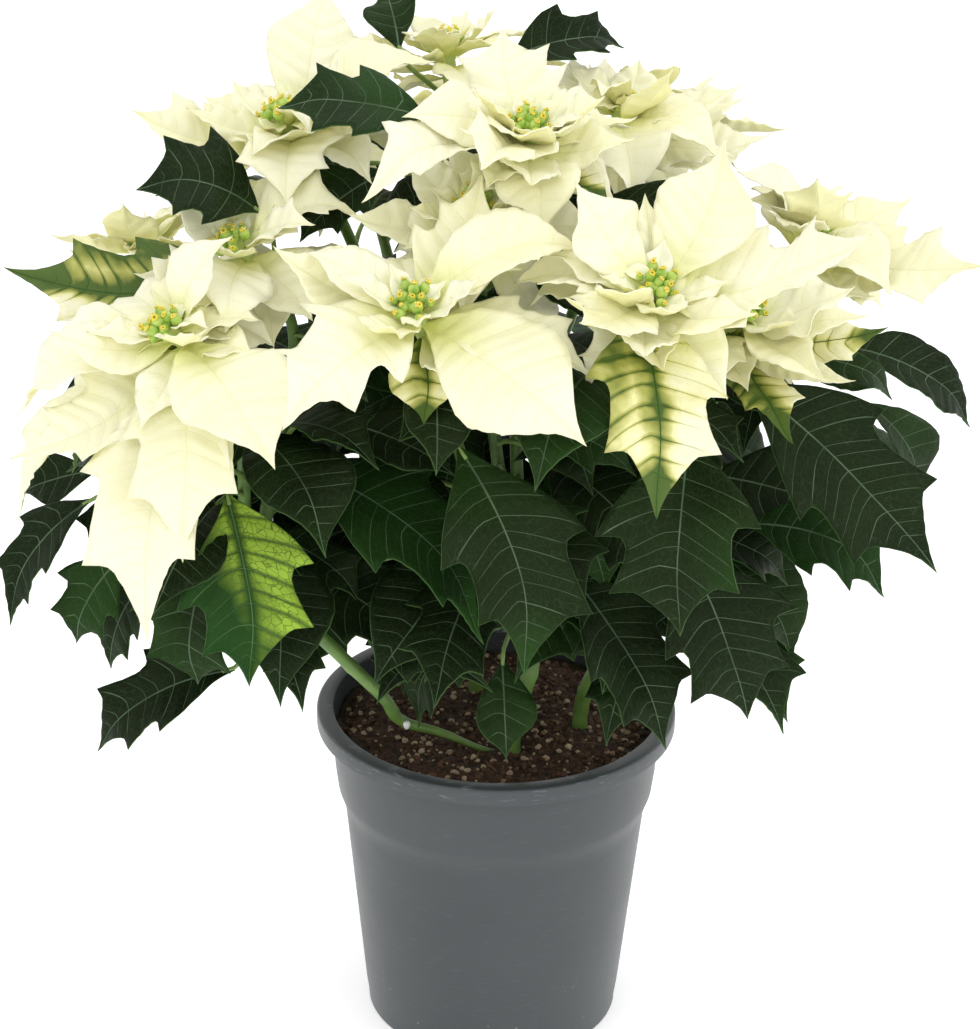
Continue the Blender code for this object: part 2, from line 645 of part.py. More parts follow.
def make_flowers(bloom):
    """The cluster of small green flowers on the hub: buds round a middle one, on a low cushion."""
    name = "flowers_" + bloom
    middle = mm(BLOOMS[bloom][1])
    lean = bloom_axis(middle)
    first = unit(np.cross(lean, (0.0, 1.0, 0.1)))
    second = np.cross(lean, first)
    foot = middle + lean * GAP
    shapes = [tube([foot, foot + lean * 2.4 * MM], (5.6 * MM, 4.4 * MM), name + "_cushion", 6)]
    for i in range(BUDS):
        turn = i * 2 * math.pi / (BUDS - 1)
        out = np.zeros(3) if i == BUDS - 1 else math.cos(turn) * first + math.sin(turn) * second
        start = foot + lean * 1.0 * MM + out * 4.2 * MM
        tip = start + lean * 6.0 * MM + out * 1.4 * MM
        shapes.append(tube([start, tip], (1.5 * MM, 2.4 * MM), f"{name}_bud_{i}", 4))
    return joined(name, shapes)


def material(name, colour, roughness):
    finish = bpy.data.materials.new(name)
    finish.use_nodes = True
    shader = finish.node_tree.nodes["Principled BSDF"]
    shader.inputs["Base Color"].default_value = (*colour, 1.0)
    shader.inputs["Roughness"].default_value = roughness
    shader.inputs["Metallic"].default_value = 0.0
    return finish


def main():
    for old in list(bpy.data.objects):
        bpy.data.objects.remove(old)
    home = bpy.data.collections.new("poinsettia")
    bpy.context.scene.collection.children.link(home)
    plastic = material("pot_plastic", (0.09, 0.105, 0.12), 0.45)
    peat = material("peat", (0.045, 0.022, 0.012), 0.95)
    green = material("leaf_green", (0.035, 0.085, 0.025), 0.5)
    ivory = material("bract_ivory", (0.95, 0.92, 0.70), 0.55)
    lime = material("flower_green", (0.35, 0.50, 0.06), 0.5)
    paths, bracts, leaves = plan_plant()
    made = [(make_pot(), plastic), (make_soil(), peat)]
    made += [(make_plant(cutting, paths, leaves[cutting]), green) for cutting in CUTTINGS]
    made += [(make_bloom(bloom, bracts[bloom]), ivory) for bloom in BLOOMS]
    made += [(make_flowers(bloom), lime) for bloom in BLOOMS]
    for obj, finish in made:
        obj.data.materials.clear()
        obj.data.materials.append(finish)
        for owner in list(obj.users_collection):
            owner.objects.unlink(obj)
        home.objects.link(obj)
    print("bracts", sum(map(len, bracts.values())), "leaves", sum(map(len, leaves.values())))


main()
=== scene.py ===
"""The looks of a cream poinsettia in its nursery pot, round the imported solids.

The first half holds the same plan as the solids: where each bloom, bract and leaf
grows, and how it bends clear of the rest. The second half gives every blade its fine
outline, ripple and veins, adds the small inner bracts and leaves, the flower heads,
the soil's crumbs and the finishes, and sets the light and the camera.
"""

import functools
import math

import bmesh
import bpy
import numpy as np
from mathutils import Matrix, Vector, noise
from mathutils.bvhtree import BVHTree

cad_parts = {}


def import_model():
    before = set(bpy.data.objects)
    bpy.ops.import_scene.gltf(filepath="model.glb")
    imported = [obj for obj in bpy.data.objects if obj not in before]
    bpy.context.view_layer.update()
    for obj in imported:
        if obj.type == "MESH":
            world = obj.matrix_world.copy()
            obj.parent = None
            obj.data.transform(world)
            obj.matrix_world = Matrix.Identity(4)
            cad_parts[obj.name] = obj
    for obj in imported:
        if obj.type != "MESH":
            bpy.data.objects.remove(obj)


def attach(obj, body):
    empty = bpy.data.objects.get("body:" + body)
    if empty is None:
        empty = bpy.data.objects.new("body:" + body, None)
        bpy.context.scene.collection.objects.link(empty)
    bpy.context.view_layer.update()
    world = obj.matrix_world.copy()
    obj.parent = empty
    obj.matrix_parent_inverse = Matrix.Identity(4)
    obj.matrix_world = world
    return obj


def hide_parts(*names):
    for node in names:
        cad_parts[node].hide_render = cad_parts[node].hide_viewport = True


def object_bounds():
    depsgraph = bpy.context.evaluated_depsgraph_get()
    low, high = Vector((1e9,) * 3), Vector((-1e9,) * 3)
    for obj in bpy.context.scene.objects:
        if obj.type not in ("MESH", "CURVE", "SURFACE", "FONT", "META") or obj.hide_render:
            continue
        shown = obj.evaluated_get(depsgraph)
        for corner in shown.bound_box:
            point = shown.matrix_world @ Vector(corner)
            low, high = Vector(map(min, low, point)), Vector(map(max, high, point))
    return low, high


MM = 0.001
RIM_RADIUS = 85.0 * MM
POT_HEIGHT = 160.0 * MM
POT_FLOOR = 2.0 * MM
DRAIN_HOLES = 6
DRAIN_RADIUS = 5.0 * MM
DRAIN_RING = 42.0 * MM
SOIL_TOP = 149.0 * MM
SOIL_BUMP = 3.0 * MM
ROOT_DEPTH = 28.0 * MM
GAP = 0.3 * MM
STEM_RADIUS = 4.4 * MM
BRANCH_RADIUS = 2.8 * MM
PETIOLE_RADIUS = 1.3 * MM
PETIOLE_REACH = 0.07
HUB_LENGTH = 30.0 * MM
HUB_RADIUS = 3.6 * MM
BLADE_THICKNESS = 0.7 * MM
CLEARANCE = 0.9 * MM
GOLDEN_ANGLE = 137.508

# Half width along a blade, from its root at 0 to its tip at 1, against half its width
OUTLINES = {
    "smooth": ((0.0, 0.0), (0.19, 0.46), (0.44, 1.0), (0.73, 0.70), (1.0, 0.0)),
    "toothed": ((0.0, 0.0), (0.18, 0.50), (0.36, 1.0), (0.47, 0.72), (0.66, 0.78), (1.0, 0.0)),
}

# Pot seen from the side: radius and height, from the floor's middle over the rim to the base
POT_WALL_INSIDE = ((58.6, 2.0), (70.1, 110.0), (73.3, 119.2), (74.8, 130.2), (76.9, 157.0))
POT_OUTSIDE = ((77.8, 160.0), (84.2, 160.0), (85.0, 159.2), (85.0, 152.6), (84.4, 152.0), (83.4, 152.0),
               (83.4, 158.2), (78.6, 158.2), (76.4, 130.0), (75.0, 119.0), (71.8, 110.0), (61.4, 8.0),
               (60.0, 0.0))

# Rooted cuttings: the points of each main stem above its hole in the soil, in mm
CUTTINGS = {
    "left": ((-19, -30, 154), (-25, -33, 161), (-44, -38, 170), (-52, -42, 184), (-71, -45, 206),
             (-90, -46, 228), (-105, -48, 250)),
    "front": ((8, -28, 155), (11, -30, 175), (16, -32, 200), (12, -35, 235)),
    "right": ((40, -2, 155), (44, -5, 175), (56, -12, 200), (64, -16, 225)),
    "back": ((-10, 34, 155), (-13, 37, 180), (-16, 42, 215)),
}

# Blooms: the cutting that carries each, its middle in mm, and how many extra bracts fill it out
BLOOMS = {
    "front": ("front", (-37, -115, 403), 1),
    "left_low": ("left", (-141, -95, 384), 1),
    "left_mid": ("left", (-116, -50, 406), 1),
    "high": ("front", (10, -45, 458), 1),
    "right_front": ("right", (62, -110, 410), 1),
    "right_mid": ("right", (104, -58, 384), 1),
    "right_back": ("right", (142, 25, 392), 1),
    "high_right": ("right", (53, 30, 447), 1),
    "high_left": ("back", (-99, 0, 448), 1),
    "top": ("back", (-28, 70, 462), 1),
    "inner": ("front", (-13, -60, 427), 1),
    "left_back": ("left", (-171, 80, 361), 2),
    "back_left": ("back", (-78, 118, 412), 5),
    "back_right": ("back", (70, 122, 420), 5),
}

# Bracts of each bloom: outline, heading, rise, length, width, and how far down the hub each grows (mm)
BRACTS = {
    "front": (
        ("smooth", 13, 24, 77, 34, 8), ("smooth", 316, -16, 93, 54, 14), ("toothed", 341, -9, 76, 34, 18),
        ("toothed", 228, -15, 80, 54, 14), ("smooth", 170, 22, 65, 30, 8), ("toothed", 53, 53, 66, 36, 6),
        ("smooth", 277, -34, 45, 28, 22),
    ),
    "left_low": (
        ("smooth", 303, -25, 79, 46, 12), ("toothed", 275, -35, 97, 50, 14),
        ("toothed", 253, -55, 125, 54, 22), ("smooth", 179, -21, 80, 38, 10),
        ("toothed", 207, -26, 86, 42, 14), ("toothed", 182, -43, 118, 42, 20),
        ("toothed", 167, -27, 91, 38, 18), ("smooth", 16, -9, 45, 26, 6), ("smooth", 122, 2, 51, 28, 5),
    ),
    "left_mid": (
        ("toothed", 358, 27, 58, 32, 8), ("smooth", 309, -27, 47, 34, 10),
        ("smooth", 262, -14, 55, 34, 12), ("smooth", 219, 4, 51, 28, 10),
        ("toothed", 177, 5, 110, 46, 16), ("smooth", 190, -8, 84, 36, 20),
    ),
    "high": (
        ("toothed", 114, 47, 52, 46, 6), ("smooth", 337, 38, 39, 30, 8), ("smooth", 336, 18, 47, 24, 12),
        ("smooth", 205, 14, 58, 30, 8), ("toothed", 223, 10, 88, 38, 14),
        ("toothed", 253, -5, 71, 38, 10), ("smooth", 287, -14, 53, 32, 18),
        ("smooth", 319, -9, 46, 24, 20),
    ),
    "high_right": (
        ("smooth", 350, 19, 52, 28, 8), ("smooth", 275, -14, 60, 36, 10), ("toothed", 20, 12, 61, 32, 14),
        ("smooth", 319, 0, 57, 26, 10), ("smooth", 54, 59, 30, 20, 5), ("smooth", 175, 50, 30, 20, 5),
        ("smooth", 5, 3, 73, 30, 20),
    ),
    "right_front": (
        ("toothed", 347, 25, 95, 54, 8), ("toothed", 89, 54, 44, 28, 8), ("smooth", 38, 56, 72, 40, 8),
        ("smooth", 245, 30, 50, 24, 12), ("smooth", 267, 3, 56, 24, 12), ("smooth", 318, -31, 52, 30, 20),
        ("toothed", 285, -47, 94, 52, 16),
    ),
    "right_mid": (
        ("smooth", 338, 25, 51, 34, 8), ("smooth", 316, 0, 71, 14, 16), ("smooth", 302, 20, 58, 28, 6),
        ("smooth", 280, -17, 40, 22, 20), ("toothed", 293, -4, 66, 28, 14),
        ("toothed", 352, 8, 69, 34, 18),
    ),
    "right_back": (
        ("toothed", 342, 18, 82, 42, 10), ("toothed", 290, 70, 58, 34, 6), ("smooth", 191, 50, 49, 30, 8),
        ("smooth", 323, -11, 57, 32, 16),
    ),
    "high_left": (
        ("toothed", 197, 10, 70, 38, 10), ("toothed", 276, -13, 52, 46, 12),
        ("smooth", 149, 14, 44, 28, 8), ("smooth", 72, 66, 70, 36, 12), ("smooth", 9, 30, 72, 28, 10),
    ),
    "top": (
        ("smooth", 224, 5, 51, 26, 12), ("smooth", 10, 45, 30, 18, 6), ("smooth", 116, 31, 36, 22, 6),
        ("smooth", 287, -2, 48, 28, 12),
    ),
    "inner": (("smooth", 295, 18, 30, 20, 6), ("smooth", 235, 2, 46, 30, 10)),
    "left_back": (("smooth", 225, 55, 40, 24, 8), ("smooth", 200, 26, 46, 26, 6)),
    "back_left": (),
    "back_right": (),
}

# Leaves that show: outline, where the blade starts, heading, rise, length and width (mm)
LEAVES = (
    ("toothed", (-112, -30, 411), 164, 45, 50, 36), ("toothed", (-30, -48, 455), 186, 8, 64, 46),
    ("toothed", (-50, -25, 430), 208, -31, 50, 38), ("smooth", (-48, 50, 455), 104, 29, 38, 24),
    ("smooth", (0, 25, 458), 20, 10, 60, 26), ("smooth", (24, -30, 405), 287, -22, 68, 44),
    ("toothed", (41, -20, 418), 306, -3, 62, 38), ("smooth", (147, -30, 355), 0, -29, 77, 34),
    ("toothed", (102, -70, 354), 340, -41, 119, 64), ("smooth", (163, 0, 317), 0, -57, 58, 38),
    ("toothed", (78, -112, 346), 261, -61, 86, 68), ("toothed", (80, -86, 280), 312, -59, 79, 64),
    ("toothed", (108, -56, 280), 351, -19, 74, 44), ("toothed", (31, -78, 265), 320, -46, 89, 52),
    ("toothed", (-19, -106, 337), 313, -59, 104, 60), ("toothed", (-90, -86, 320), 342, -33, 117, 62),
    ("smooth", (-69, -76, 334), 345, -8, 62, 30), ("toothed", (-104, -66, 324), 316, 8, 73, 38),
    ("toothed", (-116, -104, 313), 298, -65, 84, 58), ("toothed", (-165, -68, 266), 206, -57, 48, 34),
    ("toothed", (-180, -50, 285), 197, -52, 70, 34), ("smooth", (-180, -30, 290), 180, -19, 40, 28),
    ("toothed", (-155, -55, 250), 200, -66, 48, 34), ("toothed", (-128, -78, 268), 240, -74, 60, 44),
    ("toothed", (-112, -58, 250), 350, -62, 44, 36), ("toothed", (-117, -70, 211), 189, -30, 77, 40),
    ("toothed", (-96, -58, 262), 336, -27, 111, 44), ("smooth", (-66, -56, 244), 335, -50, 40, 24),
    ("toothed", (-10, -34, 222), 215, -28, 62, 38), ("smooth", (2, -56, 212), 277, -62, 46, 28),
    ("toothed", (26, -50, 312), 294, -51, 69, 52), ("toothed", (60, -40, 254), 255, -55, 62, 46),
    ("smooth", (20, -48, 232), 232, 12, 32, 20),
)

# Leaves low at the back, which the front view hides: the same columns
LOW_BACK_LEAVES = (
    ("toothed", (-27, 52, 283), 142, -23, 80, 46), ("toothed", (-16, 73, 275), 31, -23, 84, 46),
    ("toothed", (7, 69, 273), 100, -16, 62, 38), ("toothed", (-31, 44, 229), 172, -33, 71, 40),
    ("toothed", (-29, 60, 228), 112, -33, 62, 38), ("toothed", (2, 47, 252), 6, -28, 58, 36),
)

# Leaves out of the front view follow a rule: how many steps round each branch, and their size range (mm)
HIDDEN_LEAF_STEPS = (0.42, 0.80)
HIDDEN_LEAF_LENGTH = (74.0, 104.0)
HIDDEN_HEADINGS = (-25.0, 205.0)
FILL_LENGTH = 58.0
FILL_WIDTH = 36.0
BRACT_FULLNESS = 1.12
STEEP = 0.30
OUTER_PART = 0.3
FACING = 30.0
FACING_DEPTH = 60.0 * MM

TURNS_TO_TRY = (0, -7, 7, -14, 14, -21, 21, -30, 30, -40, 40)
LIFTS_TO_TRY = (0, 7, -7, 14, -14, 22, -22, 32, -32)
SIZES_TO_TRY = (1.0, 0.9, 0.8)


def mm(point):
    return np.array(point, float) * MM


def unit(vector):
    return vector / np.linalg.norm(vector)


def direction(heading, rise):
    """The way a blade points: heading round the plant and rise above level, in degrees."""
    turn, lift = math.radians(heading), math.radians(rise)
    return np.array((math.cos(turn) * math.cos(lift), math.sin(turn) * math.cos(lift), math.sin(lift)))


def bloom_axis(middle):
    """Blooms lean outwards, away from a point low on the plant's own axis."""
    return unit(np.array((middle[0], middle[1], 0.17)))


def half_width(outline, t):
    knots = OUTLINES[outline]
    return np.interp(t, [knot[0] for knot in knots], [knot[1] for knot in knots])


def midrib(blade, rows, twist=0.0):
    """Points on a blade's midrib at its rows, with the tangent, the side and the upward normal at each."""
    along = direction(blade["heading"], blade["rise"])
    turn = math.radians(blade["heading"])
    side = np.array((math.sin(turn), -math.cos(turn), 0.0))
    up = np.cross(side, along)
    bow = 4.0 * blade["arch"] * blade["length"]
    row = np.asarray(rows)[:, None]
    point = blade["base"] + along * blade["length"] * row + up * bow * row * (1.0 - row)
    tangent = along * blade["length"] + up * bow * (1.0 - 2.0 * row)
    tangent /= np.linalg.norm(tangent, axis=1)[:, None]
    roll = math.radians(blade["roll"]) + twist * row
    side = side * np.cos(roll) + np.cross(side, tangent) * np.sin(roll)
    return point, tangent, side, np.cross(side, tangent)


def stations(outline):
    return [knot[0] for knot in OUTLINES[outline]]


def shell(rings):
    """A closed test surface through a row of rings, for finding what crosses what."""
    rings = np.asarray(rings)
    rows, count = rings.shape[:2]
    points = rings.reshape(-1, 3)
    faces = [tuple(range(count))[::-1], tuple(range((rows - 1) * count, rows * count))]
    for row in range(rows - 1):
        for i in range(count):
            j = (i + 1) % count
            faces.append((row * count + i, row * count + j, (row + 1) * count + j, (row + 1) * count + i))
    tree = BVHTree.FromPolygons(points.tolist(), faces)
    return {"tree": tree, "low": points.min(0), "high": points.max(0)}


def blade_rows(blade, t):
    """A blade's left edge, midrib and right edge at rows t, with each row's side and normal."""
    point, tangent, side, normal = midrib(blade, t)
    row, fold = np.asarray(t)[:, None], math.radians(blade["fold"])
    half = 0.5 * blade["width"] * half_width(blade["outline"], row)
    lines = []
    for s in (-1, 0, 1):
        reach = s * half
        ripple = blade["wave"] * np.sin(9.0 * row + blade["phase"] + 1.9 * s)
        sweep = 0.3 * np.abs(reach) * np.sin(math.pi * row)
        rise = np.abs(reach) * (math.sin(fold) + ripple)
        lines.append(point + side * reach * math.cos(fold) + normal * rise + tangent * sweep)
    return lines, side, normal


def blade_shell(blade, start=0.0):
    rows = [min(max(t, 0.015), 0.985) for t in stations(blade["outline"]) if t >= start]
    (left, middle, right), side, normal = blade_rows(blade, rows)
    left, right = left - side * CLEARANCE, right + side * CLEARANCE
    off = normal * CLEARANCE
    rings = np.stack([left + off, middle + off, right + off, right - off, middle - off, left - off], 1)
    return shell(rings)


def tube_shell(path, radius):
    rings = []
    for i, point in enumerate(path):
        along = unit(path[min(i + 1, len(path) - 1)] - path[max(i - 1, 0)])
        first = unit(np.cross(along, (0.3, 1.0, 0.2)))
        second = np.cross(along, first)
        reach = radius + CLEARANCE
        rings.append([point + reach * (math.cos(a) * first + math.sin(a) * second)
                      for a in np.linspace(0, 2 * math.pi, 6, endpoint=False)])
    return shell(rings)


def crowd(shapes):
    lows = np.array([shape["low"] for shape in shapes]).reshape(-1, 3)
    highs = np.array([shape["high"] for shape in shapes]).reshape(-1, 3)
    return lows, highs, [shape["tree"] for shape in shapes]


def touches(one, others):
    lows, highs, trees = others
    near = np.flatnonzero(((lows <= one["high"]) & (highs >= one["low"])).all(1))
    return any(one["tree"].overlap(trees[i]) for i in near)


def in_pot(blade):
    """Whether a blade comes down into the soil or the pot's rim."""
    points = np.vstack(blade_rows(blade, stations(blade["outline"])[1:])[0])
    radius = np.hypot(points[:, 0], points[:, 1])
    on_rim = (points[:, 2] < POT_HEIGHT + 3 * MM) & (radius > 0.072) & (radius < RIM_RADIUS + 3 * MM)
    return bool((on_rim | ((radius < RIM_RADIUS) & (points[:, 2] < SOIL_TOP + 6 * MM))).any())


def bezier(start, first, second, end, count):
    points = []
    for t in np.linspace(0.0, 1.0, count):
        u = 1.0 - t
        points.append(u ** 3 * start + 3 * u * u * t * first + 3 * u * t * t * second + t ** 3 * end)
    return points


def main_stem(cutting):
    """The main stem's points, from the bottom of its hole in the soil to its fork."""
    points = [mm(point) for point in CUTTINGS[cutting]]
    foot = points[0].copy()
    foot[2] = SOIL_TOP - ROOT_DEPTH + GAP
    return [foot] + points


def branch(name, count=5):
    """The branch from a cutting's fork to the foot of the bloom's hub."""
    cutting, middle, _ = BLOOMS[name]
    stem = main_stem(cutting)
    start = stem[-1] + 8 * MM * unit(stem[-2] - stem[-1])
    lean = bloom_axis(mm(middle))
    tip = mm(middle) - lean * (HUB_LENGTH + GAP)
    end = tip - lean * 4 * MM
    span = np.linalg.norm(end - start)
    up = unit(stem[-1] - stem[-2])
    outward = np.array((end[0] - start[0], end[1] - start[1], 0.0)) * 0.35
    return bezier(start, start + up * 0.25 * span + outward, end - lean * 0.3 * span, end, count) + [tip]


def petiole(blade, root, count=4):
    """The leaf stalk from its stem to a little way along the blade's midrib."""
    span = np.linalg.norm(blade["base"] - root)
    end, tangent = (line[0] for line in midrib(blade, [PETIOLE_REACH])[:2])
    out = unit(blade["base"] - root) + np.array((0.0, 0.0, 0.5))
    return bezier(root, root + out * 0.4 * span, blade["base"] - tangent * 0.3 * span, end, count)


def candidates():
    """Small changes of heading, rise and size, the smallest first."""
    rows = []
    for turn in TURNS_TO_TRY:
        for lift in LIFTS_TO_TRY:
            for size in SIZES_TO_TRY:
                cost = (turn / 10) ** 2 + (lift / 10) ** 2 + ((1.0 - size) * 12) ** 2
                rows.append((round(cost, 4), turn, lift, size))
    return sorted(rows)


def nearby(blade, placed):
    """What is close enough for a blade, its bends or its stalk to touch."""
    reach = 1.4 * blade["length"] + 70 * MM
    low, high = blade["base"] - reach, blade["base"] + reach
    return [row for row in placed if (row[1]["low"] < high).all() and (row[1]["high"] > low).all()]


def whole_shells(blade, root):
    """The test surfaces of a blade and of its stalk, if it has one."""
    stalks = [] if root is None else [tube_shell(petiole(blade, root), PETIOLE_RADIUS)]
    return [blade_shell(blade), *stalks]


def settle(blade, node, placed, root=None):
    """Bends a blade clear of the other nodes, and if it can of its own. It returns its shells, or None."""
    spare = None
    wanted = dict(blade)
    others = crowd([shape for owner, shape, _ in placed if owner != node])
    own = crowd([shape for owner, _, shape in placed if owner == node and shape])
    for _, turn, lift, size in candidates():
        blade.update(heading=wanted["heading"] + turn, rise=min(wanted["rise"] + lift, 84),
                     length=wanted["length"] * size)
        if in_pot(blade):
            continue
        shells = whole_shells(blade, root)
        if any(touches(mine, others) for mine in shells):
            continue
        outer = blade_shell(blade, OUTER_PART)
        if touches(outer, own):
            spare = spare or (dict(blade), shells, outer)
            continue
        return shells, outer
    if spare:
        blade.update(spare[0])
        return spare[1], spare[2]
    return None


def put_in(blade, node, placed, root=None, always=False):
    """Settles a blade clear of the rest and notes its place; one that must show stays in any case."""
    wanted = dict(blade)
    found = settle(blade, node, nearby(blade, placed), root)
    if not found:
        if not always:
            return False
        blade.update(wanted)
        found = whole_shells(blade, root), blade_shell(blade, OUTER_PART)
    placed.append((node, found[0][0], found[1]))
    if root is not None:
        placed.append((node, found[0][1], None))
        blade["root"] = root
    return True


def new_blade(outline, base, heading, rise, length, width, index, lean, leaf=False):
    """A bract or a leaf, with the bow, fold and ripple that its place in the order gives it."""
    steep = direction(heading, rise) @ lean > STEEP
    vary = math.sin(index * 2.4)
    front = 1.0 if base[1] < FACING_DEPTH else -0.6
    facing = -FACING * math.cos(math.radians(heading)) * front
    return {
        "outline": outline, "base": base, "heading": heading, "rise": rise, "length": length * MM,
        "width": width * MM, "arch": -0.11 if steep else 0.09 + 0.04 * vary,
        "fold": (10.0 if leaf else 14.0) + 7.0 * math.sin(index * 1.7),
        "roll": 8.0 * math.sin(index * 3.1) + facing,
        "wave": 0.09 if leaf else 0.13, "phase": index * 1.3,
    }


def fill_bracts(name, hero, count):
    """More bracts, each in the widest gap that is left round the bloom."""
    headings = [row[1] % 360 for row in hero]
    rows = []
    for i in range(count):
        ring = sorted(headings) or [40.0]
        gaps = [((ring + [ring[0] + 360])[k + 1] - ring[k], ring[k]) for k in range(len(ring))]
        width, start = max(gaps)
        heading = (start + width / 2) % 360
        headings.append(heading)
        rise = 12 + 10 * math.sin(i * 2.1 + len(name))
        outline = "toothed" if i % 3 == 0 else "smooth"
        length = FILL_LENGTH + 7 * math.sin(i * 1.9)
        rows.append((outline, heading, rise, length, FILL_WIDTH, 8 + 3 * (i % 3)))
    return rows


def hidden_leaves(paths):
    """Leaves at the back and sides, spaced by the golden angle up every branch."""
    rows = []
    for number, name in enumerate(BLOOMS):
        path = paths[name]
        for i, step in enumerate(HIDDEN_LEAF_STEPS):
            heading = (number * 61 + i * GOLDEN_ANGLE + 180) % 360 - 180
            low, high = HIDDEN_HEADINGS
            if not low < heading % 360 < high:
                continue
            root = path[round(step * (len(path) - 1))]
            outward = direction(heading, 0)
            base = root + outward * 30 * MM + np.array((0, 0, 14 * MM))
            short, long = HIDDEN_LEAF_LENGTH
            length = short + (long - short) * (0.5 + 0.5 * math.sin(number * 1.3 + i))
            rows.append(("toothed", base / MM, heading, -18 - 22 * (1 - step), length, 0.56 * length))
    return rows


def plan_plant():
    """Every bloom and leaf in its place: blades by node, with the branches and petioles that carry them."""
    paths = {name: branch(name) for name in BLOOMS}
    placed = []
    for name, (cutting, middle, _) in BLOOMS.items():
        lean, middle = bloom_axis(mm(middle)), mm(middle)
        placed.append(("plant_" + cutting, tube_shell(paths[name], BRANCH_RADIUS), None))
        hub = [middle - lean * HUB_LENGTH * part for part in (1.0, 0.5, 0.0)]
        placed.append(("bloom_" + name, tube_shell(hub, HUB_RADIUS), None))
        head = [middle + lean * part * MM for part in (2, 9)]
        placed.append(("flowers_" + name, tube_shell(head, 7 * MM), None))
    for cutting in CUTTINGS:
        placed.append(("plant_" + cutting, tube_shell(main_stem(cutting), STEM_RADIUS), None))
    bracts = {name: [] for name in BLOOMS}
    index = 0
    for name, (_, middle, fill) in BLOOMS.items():
        lean = bloom_axis(mm(middle))
        rows = (*BRACTS[name], *fill_bracts(name, BRACTS[name], fill))
        for row, (outline, heading, rise, length, width, drop) in enumerate(rows):
            index += 1
            blade = new_blade(outline, mm(middle) - lean * drop * MM, heading, rise, length,
                              width * BRACT_FULLNESS, index, lean)
            blade["row"] = row
            if put_in(blade, "bloom_" + name, placed):
                bracts[name].append(blade)
    leaves = {cutting: [] for cutting in CUTTINGS}
    rows = (*LEAVES, *hidden_leaves(paths), *LOW_BACK_LEAVES)
    for row, (outline, base, heading, rise, length, width) in enumerate(rows):
        index += 1
        inward = -direction(heading, 0)
        blade = new_blade(outline, mm(base), heading, rise, length, width, index, inward, leaf=True)
        blade["row"] = row
        name, root = nearest_branch(paths, blade["base"])
        if put_in(blade, "plant_" + BLOOMS[name][0], placed, root):
            leaves[BLOOMS[name][0]].append(blade)
    return paths, bracts, leaves, placed


def nearest_branch(paths, base):
    """The branch, and the point on it below the hub, that a leaf grows from."""
    best = None
    for name, path in paths.items():
        for point in path[1:-1]:
            rise = max(point[2] - base[2] + 6 * MM, 0.0)
            span = np.linalg.norm(base - point) + 3.0 * rise
            if best is None or span < best[0]:
                best = (span, name, point)
    return best[1], best[2]


def soil_height(x, y):
    """The lumpy top of the soil, level round each stem."""
    bump = noise.noise(Vector((x * 55, y * 55, 3.0))) * SOIL_BUMP
    mound = 5 * MM * math.exp(-((x - 0.032) ** 2 + (y + 0.022) ** 2) / 0.018 ** 2)
    near = min(math.hypot(x - p[0][0] * MM, y - p[0][1] * MM) for p in CUTTINGS.values())
    calm = min(max((near - 7 * MM) / (9 * MM), 0.0), 1.0)
    return (bump + mound) * calm


# Fine blades
LONG_BLADE = 64.0 * MM
GRID_LONG = (40, 14)
GRID_SHORT = (22, 10)
VEIN_SPACING = 8.0 * MM
QUILT = 0.34 * MM
SEAM = 1e-6
BOX_MARGIN = 4.0 * MM
CM = 0.01

# The same outlines, fine: full shoulders, teeth drawn out to points, and a long narrow tip
FINE_OUTLINES = {
    "smooth": (
        (0.0, 0.0), (0.06, 0.10), (0.12, 0.25), (0.19, 0.47), (0.26, 0.69), (0.34, 0.88), (0.44, 1.0),
        (0.53, 0.98), (0.62, 0.87), (0.70, 0.69), (0.78, 0.46), (0.85, 0.26), (0.91, 0.12), (0.96, 0.04),
        (1.0, 0.0),
    ),
    "toothed": (
        (0.0, 0.0), (0.06, 0.12), (0.12, 0.29), (0.18, 0.50), (0.25, 0.74), (0.32, 0.94), (0.36, 1.06),
        (0.385, 0.86), (0.42, 0.73), (0.47, 0.68), (0.54, 0.69), (0.61, 0.74), (0.66, 0.83), (0.69, 0.61),
        (0.73, 0.48), (0.79, 0.34), (0.86, 0.19), (0.92, 0.09), (0.96, 0.04), (1.0, 0.0),
    ),
}

# Bracts that are green and yellow in part: their row in BRACTS, and how far the green has spread
BLUSH = {"front": {6: 0.6}, "left_low": {6: 0.7}, "left_mid": {4: 1.0}, "high": {7: 0.5},
         "right_front": {6: 0.75},
         "right_mid": {4: 0.9, 5: 0.3}}
# Leaves with yellow between their veins, and leaves with a painted glow of light shining through them, in a
# lighter green
VARIEGATED_LEAVES = (18,)
PAINTED_BACKLIT_LEAVES = (12, 15, 27)

# Small inner bracts of every bloom, and inner leaves up every branch
INNER_BRACTS = 10
INNER_BRACT_LENGTH = (17.0, 54.0)
OUTER_BRACTS = 5
INNER_LEAF_STEPS = (0.06, 0.13, 0.20, 0.28, 0.36, 0.44, 0.52, 0.60, 0.68, 0.76, 0.84, 0.92)
INNER_LEAF_LENGTH = (46.0, 88.0)

# Dark leaves that stand up between the high blooms: the same columns as LEAVES
HIGH_LEAVES = (
    ("toothed", (-104, -40, 415), 203, 20, 60, 50), ("toothed", (-32, -52, 462), 186, 8, 64, 46),
    ("smooth", (-48, 50, 462), 104, 29, 40, 26), ("toothed", (0, 25, 466), 20, 4, 60, 34),
)

